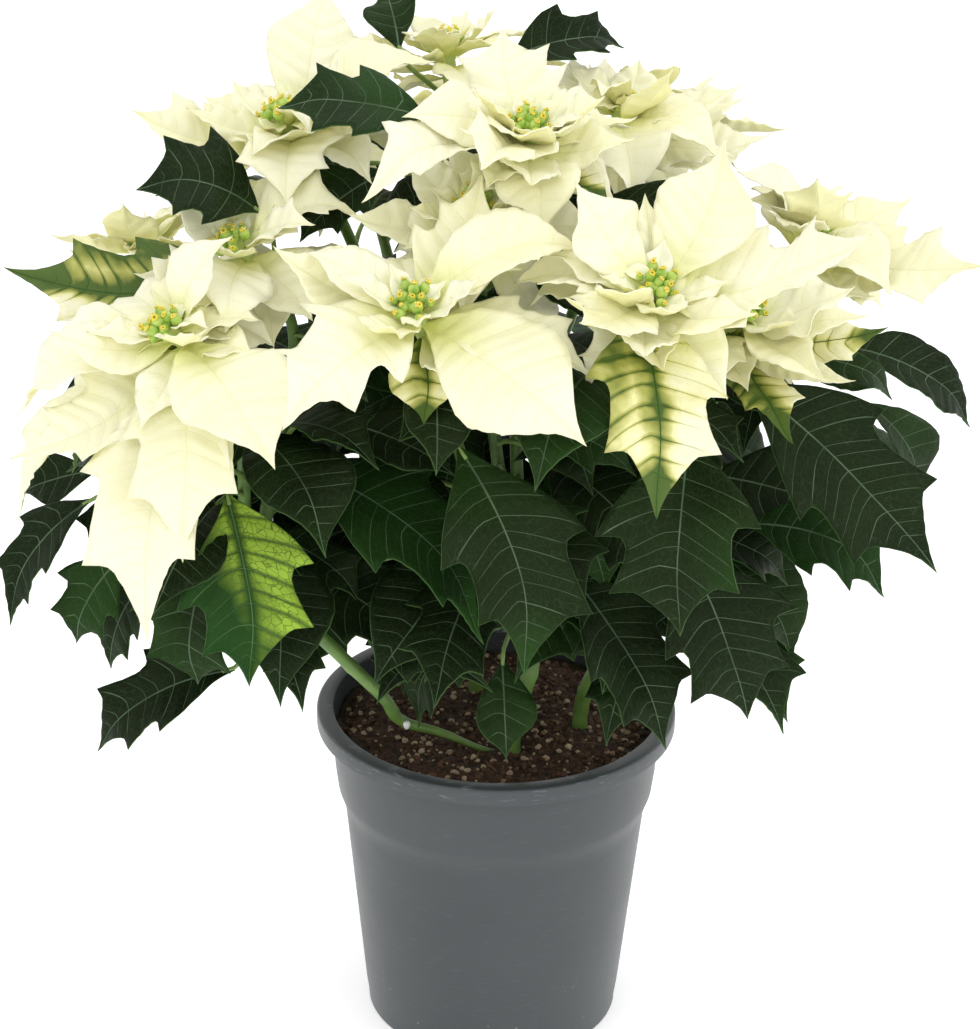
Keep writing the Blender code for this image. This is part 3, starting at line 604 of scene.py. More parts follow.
# Dark leaves within the plant, which close the gaps between the stems: the same columns
INSIDE_LEAVES = (
    ("toothed", (-91, 0, 313), 245, -22, 82, 48), ("toothed", (-18, 14, 312), 285, -30, 84, 46),
    ("toothed", (46, 0, 316), 300, -22, 80, 46), ("toothed", (-108, 20, 270), 235, -25, 80, 46),
    ("toothed", (10, 30, 262), 265, -30, 84, 50), ("toothed", (-47, 40, 262), 240, -28, 84, 50),
    ("toothed", (45, -30, 252), 275, -22, 62, 44), ("toothed", (-71, 30, 220), 250, -35, 70, 42),
    ("toothed", (76, 30, 253), 300, -30, 80, 48), ("toothed", (-100, 2, 292), 252, -14, 70, 46),
    ("toothed", (-82, 34, 296), 228, -22, 76, 46),
)

# One more bract that leans over the heart of a bloom: its bloom, outline, heading, rise, length and width
COVER_BRACTS = (
    ("right_front", "toothed", 236, 38, 60, 42), ("right_front", "smooth", 150, 52, 52, 36),
    ("right_mid", "toothed", 215, 40, 50, 34), ("high", "smooth", 255, 42, 46, 32),
    ("left_low", "toothed", 75, 48, 48, 34), ("back_right", "smooth", 262, 40, 44, 30),
)

# Flower heads
BUD_LENGTH = 6.6 * MM
BUD_RINGS = ((0.0, 1), (3.9, 5), (7.3, 6))

# Soil
CRUMBS = 2600
GRAINS = 460
SPLINTERS = 70
SEED = 20
SOIL_REACH = 72.0 * MM
SUNK = 0.35

# Camera, from the pot's rim, step and base in the photograph
PHOTO_LONG_SIDE = 1029.0
FOCAL_PIXELS = 3027.0
SENSOR = 36.0
CAMERA_PLACE = (-0.0043, -1.275, 0.827)
CAMERA_DOWN = 24.06
CAMERA_ROLL = 0.87


def smoothstep(low, high, x):
    u = np.clip((x - low) / (high - low), 0.0, 1.0)
    return u * u * (3 - 2 * u)


def fine_profile(outline, u):
    """Half width along a blade, at rows numbered as in OUTLINES."""
    knots = FINE_OUTLINES[outline]
    return np.interp(u, [knot[0] for knot in knots], [knot[1] for knot in knots])


def fine_points(blade, row, s, cells=GRID_LONG[0]):
    """Every point of a fine blade, from its row along the midrib and its place across, with its veins."""
    length, width, phase = blade["length"], blade["width"], blade["phase"]
    knots = np.array([knot[0] for knot in OUTLINES[blade["outline"]]])
    edge, u = np.empty_like(row), np.empty_like(row)
    for hand in (-1.0, 1.0):
        mine = s * hand >= 0.0
        moved = knots + hand * blade["uneven"] * np.sin(math.pi * knots)
        rows = np.round(moved * cells) / cells
        edge[mine] = np.interp(row[mine], rows, moved)
        u[mine] = np.interp(row[mine], rows, knots)
    out = np.abs(s)
    t = (row - 0.07 * np.sin(math.pi * row)) * (1.0 - out ** 1.15) + edge * out ** 1.15
    veins = blade["length"] / VEIN_SPACING * (0.80 * row + 0.25 * row * row) + blade["vein_shift"]
    veins = veins + 0.13 * np.sin(2.4 * veins + phase) + 0.4 * (s > 0) * np.minimum(out * 3.0, 1.0)
    wobble = 1.0 + 0.05 * np.sin(7.0 * row + phase + 1.3 * np.sign(s))
    half = 0.5 * width * fine_profile(blade["outline"], u) * wobble
    reach = s * half
    fold = math.radians(blade["fold"])
    lift = np.sqrt(s * s + 0.012) - 0.109
    wave = blade["wave"] * np.sin(9.0 * t + phase + 1.9 * s)
    frill = np.sin(2 * math.pi * blade["frills"] * t + 2.1 * phase + np.sign(s))
    ruffle = blade["ruffle"] * width * s * s * frill
    curl = blade["curl"] * length * smoothstep(0.55, 1.0, t) ** 2
    furrow = np.cos(2 * math.pi * veins) * np.clip(np.abs(reach) / (3 * MM), 0.0, 1.0)
    furrow = furrow + 1.4 * np.exp(-((reach / (1.5 * MM)) ** 2))
    quilt = -QUILT * blade["quilt"] * furrow * smoothstep(0.0, 0.08, t)
    level = half * lift * (math.sin(fold) + wave) + ruffle * np.sin(math.pi * t) + curl + quilt
    tooth = sum(np.exp(-(((u - knot) / 0.035) ** 2)) for knot in (knots[2], knots[-2]))
    tooth = tooth * (blade["outline"] == "toothed")
    sweep = 0.3 * np.abs(reach) * np.sin(math.pi * t) + 0.035 * length * tooth * out ** 6
    hook = blade["hook"] * length * smoothstep(0.45, 1.0, t) ** 2
    point, tangent, side, normal = midrib(blade, t, blade["twist"])
    aside = (reach * math.cos(fold) + hook)[:, None]
    placed = point + side * aside + normal * level[:, None] + tangent * sweep[:, None]
    return placed, veins, t, reach / CM, (half - np.abs(reach)) / CM


def deselect():
    if bpy.context.object and bpy.context.object.mode != "OBJECT":
        bpy.ops.object.mode_set(mode="OBJECT")
    bpy.ops.object.select_all(action="DESELECT")


def chosen(obj):
    deselect()
    obj.select_set(True)
    bpy.context.view_layer.objects.active = obj
    return obj


def apply_all(obj):
    """Applies an object's modifiers and its place, so that it sits at the origin unscaled."""
    chosen(obj)
    for modifier in list(obj.modifiers):
        bpy.ops.object.modifier_apply(modifier=modifier.name)
    bpy.ops.object.transform_apply(location=True, rotation=True, scale=True)
    return obj


def merged(pieces, name):
    """One object from several, under the given name."""
    deselect()
    for piece in pieces:
        piece.select_set(True)
    bpy.context.view_layer.objects.active = pieces[0]
    if len(pieces) > 1:
        bpy.ops.object.join()
    pieces[0].name = pieces[0].data.name = name
    return pieces[0]


def twin(master):
    """A copy of an object, with its own mesh."""
    obj = master.copy()
    obj.data = master.data.copy()
    bpy.context.scene.collection.objects.link(obj)
    return obj


def cleaned(obj, outwards=True):
    """Closes an object's seams and turns its faces outwards."""
    chosen(obj)
    bpy.ops.object.mode_set(mode="EDIT")
    bpy.ops.mesh.select_all(action="SELECT")
    bpy.ops.mesh.remove_doubles(threshold=SEAM)
    if outwards:
        bpy.ops.mesh.normals_make_consistent(inside=False)
    bpy.ops.object.mode_set(mode="OBJECT")
    return obj


def tinted(mesh, value):
    """Notes a mesh's own tint, which its finish reads."""
    tint = mesh.attributes.new("tint", "FLOAT", "POINT")
    tint.data.foreach_set("value", np.full(len(mesh.vertices), value))


def grid_master(cells):
    """A flat grid that fine blades are shaped from, with the two maps that their veins and edges use."""
    deselect()
    bpy.ops.mesh.primitive_grid_add(x_subdivisions=cells[0], y_subdivisions=cells[1], size=2.0)
    master = bpy.context.object
    master.name = "blade_grid"
    for layer in list(master.data.uv_layers):
        master.data.uv_layers.remove(layer)
    for name in ("veins", "across"):
        master.data.uv_layers.new(name=name)
    return master


def fine_blade(blade, masters, finishes, name):
    """A fine blade, with its veins' and edges' coordinates in two UV maps and its own tint."""
    master = masters[0] if blade["length"] > LONG_BLADE else masters[1]
    obj = twin(master)
    obj.name = name
    mesh = obj.data
    flat = np.empty(len(mesh.vertices) * 3)
    mesh.vertices.foreach_get("co", flat)
    flat = flat.reshape(-1, 3)
    cells = (GRID_LONG if blade["length"] > LONG_BLADE else GRID_SHORT)[0]
    points, veins, t, across, edge = fine_points(blade, (flat[:, 0] + 1.0) * 0.5, -flat[:, 1], cells)
    mesh.vertices.foreach_set("co", points.ravel())
    corners = np.empty(len(mesh.loops), int)
    mesh.loops.foreach_get("vertex_index", corners)
    for layer, (first, second) in (("veins", (veins, t)), ("across", (across, edge))):
        pairs = np.stack([first[corners], second[corners]], -1)
        mesh.uv_layers[layer].data.foreach_set("uv", pairs.ravel())
    tinted(mesh, blade["tint"])
    for finish in finishes:
        mesh.materials.append(finish)
    return obj


def thickened(blades, thickness, name):
    """One object from blades of one finish, made thick, with the underside in the second material."""
    obj = cleaned(merged(blades, name), outwards=False)
    solid = obj.modifiers.new("Thickness", "SOLIDIFY")
    solid.thickness = thickness
    solid.offset = 0.0
    solid.material_offset = 1
    apply_all(obj)
    bpy.ops.object.shade_smooth()
    return obj


def sheets(blades, thickness, skins, masters, name, of_kind, under):
    """Every blade of a node, fine and thick, one object for each finish."""
    kinds = {}
    for number, blade in enumerate(blades):
        kind = of_kind(blade)
        made = fine_blade(blade, masters, (skins[kind], skins[under[kind]]), f"{name}_blade_{number}")
        kinds.setdefault(kind, []).append(made)
    return [thickened(group, thickness, f"{name}_{kind}") for kind, group in kinds.items()]


def dress(blade, kind, index):
    """The fine values of a blade: how its edge is frilled, how its tip curls, its veins and its tint."""
    vary = math.sin(index * 5.3)
    leaf = kind == "leaf"
    blade.update(
        ruffle=(0.020 if leaf else 0.052) * (1 + 0.5 * vary), frills=2.2 + 1.3 * math.sin(index * 3.7),
        curl=-0.07 + 0.07 * math.sin(index * 2.9), quilt=1.0 if leaf else 1.6,
        uneven=0.045 * math.sin(index * 4.1),
        vein_shift=0.5 * vary, twist=0.22 * math.sin(index * 6.1),
        hook=0.07 * math.sin(index * 8.3), tint=0.5 + 0.5 * math.sin(index * 7.7),
    )
    return blade


def inside_box(blade, box, margin):
    low, high = box
    row = np.array([0.5, 0.8, 1.0, 0.4, 0.4])
    points = fine_points(blade, row, np.array([0.0, 0.0, 0.0, -1.0, 1.0]))[0]
    return bool((points > low - margin).all() and (points < high + margin).all())


def grow(blade, kind, index, node, placed, box, root=None, always=False):
    """Dresses one more blade and puts it in, if it stays in the part's box."""
    dress(blade, kind, index)
    return inside_box(blade, box, BOX_MARGIN) and put_in(blade, node, placed, root, always)


def extra_blades(plan, box):
    """The high dark leaves, small bracts in every bloom and more leaves up every branch."""
    paths, _, _, placed = plan
    index = 500
    more_bracts = {name: [] for name in BLOOMS}
    more_leaves = {cutting: [] for cutting in CUTTINGS}
    rows = (*HIGH_LEAVES, *INSIDE_LEAVES)
    for number, (outline, base, heading, rise, length, width) in enumerate(rows):
        index += 1
        must_show = number < len(HIGH_LEAVES)
        inward = -direction(heading, 0)
        blade = new_blade(outline, mm(base), heading, rise, length, width, index, inward, leaf=True)
        name, root = nearest_branch(paths, blade["base"])
        cutting = BLOOMS[name][0]
        if grow(blade, "leaf", index, "plant_" + cutting, placed, box, root, must_show):
            more_leaves[cutting].append(blade)
    for name, outline, heading, rise, length, width in COVER_BRACTS:
        index += 1
        middle = mm(BLOOMS[name][1])
        lean = bloom_axis(middle)
        blade = new_blade(outline, middle - lean * 3 * MM, heading, rise, length, width, index, lean)
        if grow(blade, "bract", index, "bloom_" + name, placed, box):
            more_bracts[name].append(blade)
    for number, (name, (_, middle, _)) in enumerate(BLOOMS.items()):
        lean = bloom_axis(mm(middle))
        short, long = INNER_BRACT_LENGTH
        for i in range(INNER_BRACTS + OUTER_BRACTS):
            index += 1
            if i < INNER_BRACTS:
                length = short + (long - short) * i / (INNER_BRACTS - 1)
                rise, drop = 46 - 3.5 * i + 12 * math.sin(i * 1.7 + number), 3 + 0.8 * i
            else:
                length = 50 + 9 * math.sin(i * 2.3 + number)
                rise, drop = -12 + 20 * math.sin(i * 1.3 + number), 16 + 2 * (i % 4)
            heading = number * 40 + i * GOLDEN_ANGLE
            outline = "toothed" if i % 4 == 3 else "smooth"
            base = mm(middle) - lean * drop * MM
            blade = new_blade(outline, base, heading, rise, length, length * 0.50, index, lean)
            if grow(blade, "bract", index, "bloom_" + name, placed, box):
                more_bracts[name].append(blade)
    for number, name in enumerate(BLOOMS):
        cutting = BLOOMS[name][0]
        path = branch(name, 24)
        for i, step in enumerate(INNER_LEAF_STEPS):
            index += 1
            root = path[round(step * (len(path) - 2))]
            heading = number * 83 + i * GOLDEN_ANGLE + 200
            outward = direction(heading, 18)
            short, long = INNER_LEAF_LENGTH
            length = short + (long - short) * (0.5 + 0.5 * math.sin(index * 1.9))
            base = root + outward * (16 + 10 * math.sin(index)) * MM
            outline, rise = "smooth" if i % 3 == 2 else "toothed", -12 - 26 * (1 - step) ** 2
            inward = -direction(heading, 0)
            blade = new_blade(outline, base, heading, rise, length, 0.55 * length, index, inward, leaf=True)
            if grow(blade, "leaf", index, "plant_" + cutting, placed, box, root):
                more_leaves[cutting].append(blade)
    return more_bracts, more_leaves


def stalk(path, radii, finish, name, resolution):
    """A round stalk along a path: a curve with a bevel, made a mesh."""
    curve = bpy.data.curves.new(name, "CURVE")
    curve.dimensions = "3D"
    curve.bevel_depth = 1.0
    curve.bevel_resolution = resolution
    curve.use_fill_caps = True
    spline = curve.splines.new("POLY")
    spline.points.add(len(path) - 1)
    for point, place, radius in zip(spline.points, path, radii):
        point.co = (*place, 1.0)
        point.radius = radius
    obj = bpy.data.objects.new(name, curve)
    bpy.context.scene.collection.objects.link(obj)
    chosen(obj)
    bpy.ops.object.convert(target="MESH")
    obj = cleaned(bpy.context.object)
    bpy.ops.object.shade_smooth()
    obj.data.materials.append(finish)
    return obj


def smooth_path(points, count):
    """A smooth run through a main stem's points."""
    points = np.array(points)
    spans = np.r_[0.0, np.cumsum(np.linalg.norm(np.diff(points, axis=0), axis=1))]
    ends = np.vstack([2 * points[0] - points[1], points, 2 * points[-1] - points[-2]])
    result = []
    for d in np.linspace(0.0, spans[-1], count):
        k = min(np.searchsorted(spans, d, side="right") - 1, len(points) - 2)
        u = (d - spans[k]) / (spans[k + 1] - spans[k])
        p0, p1, p2, p3 = ends[k:k + 4]
        result.append(0.5 * (2 * p1 + (p2 - p0) * u + (2 * p0 - 5 * p1 + 4 * p2 - p3) * u ** 2
                             + (3 * p1 - p0 - 3 * p2 + p3) * u ** 3))
    return result


def fine_stem(cutting):
    """A main stem's points. The left one creeps out of the soil, where it is thin, and then rises."""
    points = main_stem(cutting)
    if cutting != "left":
        return points
    return [mm((14, -20, 143)), mm((-4, -27, 149)), *points[2:]]


def leaf_kind(blade):
    if blade.get("row") in VARIEGATED_LEAVES:
        return "variegated"
    # the listed leaves get the lighter green finish, the glow of light through them painted into their
    # colour
    return "painted_backlit" if blade.get("row") in PAINTED_BACKLIT_LEAVES else "leaf"


def make_plant_piece(cutting, plan, extra, masters, skins):
    """One cutting: its stems with their swollen joints, its leaf stalks and its fine leaves."""
    leaves = plan[2]
    name = "plant_" + cutting
    stem = smooth_path(fine_stem(cutting), 60)
    swell = [1.0 + 0.10 * max(math.sin(i * 0.55), 0.0) ** 8 for i in range(len(stem))]
    creep = np.interp(np.linspace(0, 1, len(stem)), (0.0, 0.2, 0.45, 1.0), (0.24, 0.36, 0.66, 0.76))
    taper = creep if cutting == "left" else np.linspace(0.80, 0.88, len(stem))
    radii = STEM_RADIUS * np.array(swell) * taper
    stalks = [stalk(stem, radii, skins["stem"], name + "_stem", 5)]
    for bloom, (owner, _, _) in BLOOMS.items():
        if owner == cutting:
            path = branch(bloom, 34)
            radii = [BRANCH_RADIUS * r * (1 + 0.12 * max(math.sin(i * 0.8), 0.0) ** 8)
                     for i, r in enumerate(np.linspace(1.15, 0.85, len(path)))]
            stalks.append(stalk(path, radii, skins["stem"], name + "_" + bloom, 4))
    grown = [*leaves[cutting], *extra[cutting]]
    for number, blade in enumerate(grown):
        path = petiole(blade, blade["root"], 12)
        radii = np.linspace(PETIOLE_RADIUS, PETIOLE_RADIUS * 0.7, len(path))
        stalks.append(stalk(path, radii, skins["petiole"], f"{name}_stalk_{number}", 2))
    under = {"leaf": "under", "variegated": "under", "painted_backlit": "under"}
    green = sheets(grown, BLADE_THICKNESS * 0.8, skins, masters, name, leaf_kind, under)
    piece = merged(green + stalks, name + "_fine")
    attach(piece, "root")
    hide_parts(name)


def make_bloom_piece(bloom, plan, extra, masters, skins):
    """One bloom: its fine bracts and the hub that they grow from."""
    bracts = plan[1]
    name = "bloom_" + bloom
    middle = mm(BLOOMS[bloom][1])
    lean = bloom_axis(middle)
    hub = [middle - lean * HUB_LENGTH * part for part in np.linspace(1.0, 0.0, 12)]
    radii = [HUB_RADIUS * (0.72 + 0.28 * math.sin(math.pi * i / 14)) for i in range(12)]
    core = stalk(hub, radii, skins["hub"], name + "_hub", 4)
    def bract_kind(blade):
        return "blush" if blade.get("row") in BLUSH.get(bloom, ()) else "bract"

    for blade in bracts[bloom]:
        blade["tint"] = BLUSH.get(bloom, {}).get(blade["row"], blade["tint"])
    under = {"bract": "bract_under", "blush": "blush_under"}
    blades = [*bracts[bloom], *extra[bloom]]
    rosette = sheets(blades, BLADE_THICKNESS * 0.6, skins, masters, name, bract_kind, under)
    piece = merged(rosette + [core], name + "_fine")
    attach(piece, "root")
    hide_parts(name)


def bud_master(skins):
    """One small green flower: a cup with a pinched mouth, a yellow gland lip and its stamens."""
    deselect()
    bpy.ops.mesh.primitive_uv_sphere_add(segments=10, ring_count=8, radius=1.0)
    cup = bpy.context.object
    bpy.ops.object.mode_set(mode="EDIT")
    shape = bmesh.from_edit_mesh(cup.data)
    for vert in shape.verts:
        z = vert.co.z
        belly = 1.0 - 0.35 * max(z, 0.0) ** 2 + 0.10 * (1 - z * z)
        vert.co.x *= belly * 0.36
        vert.co.y *= belly * 0.36
        vert.co.z = 0.5 * z + 0.42 - 0.10 * max(z - 0.85, 0.0) / 0.15
    bmesh.update_edit_mesh(cup.data)
    bpy.ops.object.mode_set(mode="OBJECT")
    cup.data.materials.append(skins["bud"])
    deselect()
    bpy.ops.mesh.primitive_torus_add(major_segments=8, minor_segments=5, major_radius=0.15,
                                     minor_radius=0.075,
                                     location=(0.16, 0.0, 0.86), rotation=(0.0, 0.5, 0.0))
    gland = bpy.context.object
    gland.data.materials.append(skins["gland"])
    pieces = [cup, gland]
    for i in range(4):
        deselect()
        turn = i * 2.1
        bpy.ops.mesh.primitive_ico_sphere_add(subdivisions=1, radius=0.075, location=(
            0.10 * math.cos(turn), 0.10 * math.sin(turn), 1.0 + 0.05 * (i % 2)))
        tip = bpy.context.object
        tip.data.materials.append(skins["stamen"])
        pieces.append(tip)
    for piece in pieces:
        apply_all(piece)
        bpy.ops.object.shade_smooth()
    return merged(pieces, "bud")


def make_flower_head(bloom, bud, skins):
    """The cluster of small green flowers: rings of buds that lean out from the bloom's middle."""
    name = "flowers_" + bloom
    middle = mm(BLOOMS[bloom][1])
    lean = Vector(bloom_axis(middle))
    foot = Vector(middle) + lean * 0.5 * MM
    across = lean.orthogonal().normalized()
    other = lean.cross(across)
    buds = []
    for ring, (reach, count) in enumerate(BUD_RINGS):
        for i in range(count):
            turn = 2 * math.pi * i / count + ring * 0.5
            out = across * math.cos(turn) + other * math.sin(turn)
            copy = twin(bud)
            up = (lean + out * 0.085 * reach).normalized()
            size = BUD_LENGTH * (0.96 - 0.08 * ring + 0.16 * math.sin(i * 2.3 + 2 * ring + len(bloom)))
            turned = up.to_track_quat("Z", "Y").to_matrix().to_4x4() @ Matrix.Rotation(turn * 3.0, 4, "Z")
            reach_here = reach * (0.95 + 0.12 * math.sin(i * 4.1 + ring)) * MM
            copy.matrix_world = (Matrix.Translation(foot + out * reach_here - lean * ring * 0.8 * MM)
                                 @ turned @ Matrix.Scale(size, 4))
            buds.append(copy)
    deselect()
    for copy in buds:
        copy.select_set(True)
    bpy.context.view_layer.objects.active = buds[0]
    bpy.ops.object.transform_apply(location=True, rotation=True, scale=True)
    cushion = stalk([np.array(foot), np.array(foot + lean * 1.6 * MM)], (5.2 * MM, 3.0 * MM), skins["bud"],
                    name + "_cushion", 4)
    piece = merged([cushion] + buds, name + "_fine")
    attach(piece, "root")
    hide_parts(name)


def turned_piece(profile, sides, name):
    """A turned piece: a circle that is extruded and scaled along its profile of (radius, height)."""
    deselect()
    radius, height = profile[0]
    bpy.ops.mesh.primitive_circle_add(vertices=sides, radius=radius, location=(0, 0, height))
    obj = bpy.context.object
    bpy.ops.object.transform_apply(location=True)
    bpy.ops.object.mode_set(mode="EDIT")
    bpy.ops.mesh.select_all(action="SELECT")
    bpy.ops.mesh.edge_face_add()
    for near, far in zip(profile, profile[1:]):
        scale = far[0] / near[0]
        bpy.ops.mesh.extrude_region_move(TRANSFORM_OT_translate={"value": (0, 0, far[1] - near[1])})
        bpy.ops.transform.resize(value=(scale, scale, 1.0), center_override=(0.0, 0.0, 0.0))
    bpy.ops.object.mode_set(mode="OBJECT")
    obj.name = obj.data.name = name
    return cleaned(obj)


def arc(middle, radius, start, end, count):
    """Points of a round edge, from one angle to another, in degrees from outwards to upwards."""
    return [(middle[0] + radius * math.cos(math.radians(a)), middle[1] + radius * math.sin(math.radians(a)))
            for a in np.linspace(start, end, count)]


def make_pot_piece(skins):
    """The pot with its round lip, its step and its foot, and the holes in its floor."""
    outside = [(r * MM, z * MM) for r, z in POT_OUTSIDE[::-1]]
    base, wall = outside[0], outside[1:5]
    lip_out = arc((RIM_RADIUS - 1.6 * MM, POT_HEIGHT - 1.6 * MM), 1.6 * MM, 0, 90, 6)
    lip_low = arc((RIM_RADIUS - 0.8 * MM, POT_HEIGHT - 7.6 * MM), 0.8 * MM, -180, 0, 6)
    inside = [(r * MM, z * MM) for r, z in POT_WALL_INSIDE[::-1]]
    profile = [(base[0] * 0.02, 0.0), (base[0] * 0.5, 0.0), (base[0] - 1.2 * MM, 0.0)]
    profile += arc((base[0] - 0.6 * MM, 1.2 * MM), 1.1 * MM, -60, -10, 4) + [(base[0] + 0.6 * MM, 4 * MM)]
    for near, far in zip(wall, wall[1:]):
        profile += [tuple(np.array(near) * (1 - u) + np.array(far) * u) for u in (0.04, 0.5, 0.96)]
    profile += [(78.4 * MM, 157.6 * MM), (83.3 * MM, 158.1 * MM), (83.4 * MM, 157.4 * MM)]
    profile += lip_low + lip_out
    profile += [(78.2 * MM, 160 * MM), (77.3 * MM, 159.6 * MM)]
    for near, far in zip(inside, inside[1:]):
        profile += [tuple(np.array(near) * (1 - u) + np.array(far) * u) for u in (0.03, 0.97)]
    profile += [(inside[-1][0] * 0.5, POT_FLOOR), (inside[-1][0] * 0.02, POT_FLOOR)]
    pot = turned_piece(profile, 120, "pot_fine")
    holes = []
    for i in range(DRAIN_HOLES):
        turn = math.radians(360 / DRAIN_HOLES * (i + 0.5))
        deselect()
        bpy.ops.mesh.primitive_cylinder_add(vertices=24, radius=DRAIN_RADIUS, depth=12 * MM, location=(
            DRAIN_RING * math.cos(turn), DRAIN_RING * math.sin(turn), 0.0))
        holes.append(apply_all(bpy.context.object))
    cutter = merged(holes, "drain_holes")
    cut_out = pot.modifiers.new("Holes", "BOOLEAN")
    cut_out.operation = "DIFFERENCE"
    cut_out.object = cutter
    apply_all(pot)
    bpy.data.objects.remove(cutter)
    chosen(pot)
    bpy.ops.object.shade_smooth_by_angle(angle=math.radians(32))
    pot.data.materials.append(skins["plastic"])
    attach(pot, "root")
    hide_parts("pot")


def ground(x, y):
    """The height of the soil's fine top."""
    lumps = noise.noise(Vector((x * 210, y * 210, 7.0))) * 1.3 * MM
    grit = noise.noise(Vector((x * 620, y * 620, 1.0))) * 0.5 * MM
    return SOIL_TOP + soil_height(x, y) + (lumps + grit)


def make_soil_piece(skins, rng):
    """The soil: a solid that fills the pot, with a rough top, crumbs, pale grains and splinters."""
    top = np.interp(SOIL_TOP, (130.2 * MM, 157.0 * MM), (74.8 * MM, 76.9 * MM)) - GAP
    wall = [(r * MM - GAP, z * MM) for r, z in POT_WALL_INSIDE[1:-1]]
    profile = [(1 * MM, POT_FLOOR + GAP), (POT_WALL_INSIDE[0][0] * MM - GAP, POT_FLOOR + GAP)] + wall
    profile += [(top, SOIL_TOP)] + [(top * r, SOIL_TOP) for r in np.linspace(0.985, 0.01, 66)]
    soil = turned_piece(profile, 240, "soil_fine")
    for vert in soil.data.vertices:
        if vert.co.z > SOIL_TOP - MM:
            vert.co.z = ground(vert.co.x, vert.co.y)
    chosen(soil)
    bpy.ops.object.shade_smooth()
    soil.data.materials.append(skins["peat"])
    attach(soil, "root")
    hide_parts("soil")
    scatter(rng, CRUMBS, (0.5, 1.9), "soil_crumbs", skins["crumb"], 1, (1.0, 1.0, 0.7))
    scatter(rng, GRAINS, (0.7, 1.9), "soil_grains", skins["grain"], 2, (1.0, 0.8, 0.75))
    scatter(rng, SPLINTERS, (1.0, 2.4), "soil_splinters", skins["splinter"], 1, (2.6, 0.35, 0.3))


def rough_lump(detail, rough, stretch, rng):
    """One uneven lump, shaped from a ball of few faces."""
    deselect()
    bpy.ops.mesh.primitive_ico_sphere_add(subdivisions=detail, radius=1.0)
    lump = bpy.context.object
    for vert in lump.data.vertices:
        vert.co = Vector([c * s * (1.0 + rough * rng.standard_normal()) for c, s in zip(vert.co, stretch)])
    return lump


def scatter(rng, count, sizes, name, finish, detail, stretch):
    """Small lumps strewn on the soil, each lying a third sunk in it, with its own mesh and tint."""
    masters = [rough_lump(detail, 0.20, stretch, rng) for _ in range(5)]
    lumps = []
    for i in range(count):
        master = masters[i % len(masters)]
        radius = SOIL_REACH * math.sqrt(rng.random())
        turn = 2 * math.pi * rng.random()
        x, y = radius * math.cos(turn), radius * math.sin(turn)
        size = (sizes[0] + (sizes[1] - sizes[0]) * rng.random() ** 2) * MM
        lump = twin(master)
        tinted(lump.data, rng.random())
        spin = Matrix.Rotation(rng.random() * 6.3, 4, "Z") @ Matrix.Rotation(rng.normal() * 0.35, 4, "X")
        place = Matrix.Translation((x, y, ground(x, y) + SUNK * size * stretch[2]))
        lump.matrix_world = place @ spin @ Matrix.Scale(size, 4)
        lumps.append(lump)
    piece = merged(lumps, name)
    apply_all(piece)
    piece.data.materials.append(finish)
    for master in masters:
        bpy.data.objects.remove(master)
    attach(piece, "root")


class Recipe:
    """A material's nodes, one call for each."""

    def __init__(self, name, roughness):
        self.material = bpy.data.materials.new(name)
        self.material.use_nodes = True
        self.tree = self.material.node_tree
        self.shader = self.tree.nodes["Principled BSDF"]
        self.shader.inputs["Roughness"].default_value = roughness

    def put(self, socket, value):
        if isinstance(value, bpy.types.NodeSocket):
            self.tree.links.new(value, socket)
        else:
            socket.default_value = value

    def node(self, kind, inputs=(), **settings):
        made = self.tree.nodes.new(kind)
        for key, value in settings.items():
            setattr(made, key, value)
        for key, value in dict(inputs).items():
            self.put(made.inputs[key], value)
        return made

    def math(self, operation, first, second=0.0):
        return self.node("ShaderNodeMath", {0: first, 1: second}, operation=operation).outputs[0]

    def times(self, *values):
        return functools.reduce(lambda first, second: self.math("MULTIPLY", first, second), values)

    def plus(self, *values):
        return functools.reduce(lambda first, second: self.math("ADD", first, second), values)

    def spread(self, value, low, high, start=0.0, end=1.0):
        inputs = {"Value": value, "From Min": low, "From Max": high, "To Min": start, "To Max": end}
        return self.node("ShaderNodeMapRange", inputs).outputs["Result"]

    def mix(self, amount, first, second):
        made = self.node("ShaderNodeMix", data_type="RGBA")
        self.put(made.inputs["Factor"], amount)
        for socket, colour in ((made.inputs[6], first), (made.inputs[7], second)):
            self.put(socket, colour if isinstance(colour, bpy.types.NodeSocket) else (*colour, 1.0))
        return made.outputs[2]

    def place(self):
        return self.node("ShaderNodeTexCoord").outputs["Object"]

    def noise(self, scale, detail=3.0, vector=None):
        inputs = {"Vector": vector or self.place(), "Scale": scale, "Detail": detail}
        return self.node("ShaderNodeTexNoise", inputs).outputs["Fac"]

    def tint(self):
        return self.node("ShaderNodeAttribute", attribute_name="tint").outputs["Fac"]

    def uv(self, layer):
        pair = self.node("ShaderNodeUVMap", uv_map=layer).outputs[0]
        made = self.node("ShaderNodeSeparateXYZ", {0: pair})
        return made.outputs[0], made.outputs[1]

    def bump(self, height, strength, distance):
        inputs = {"Height": height, "Strength": strength, "Distance": distance}
        self.put(self.shader.inputs["Normal"], self.node("ShaderNodeBump", inputs).outputs[0])

    def done(self, colour):
        self.put(self.shader.inputs["Base Color"], colour)
        return self.material


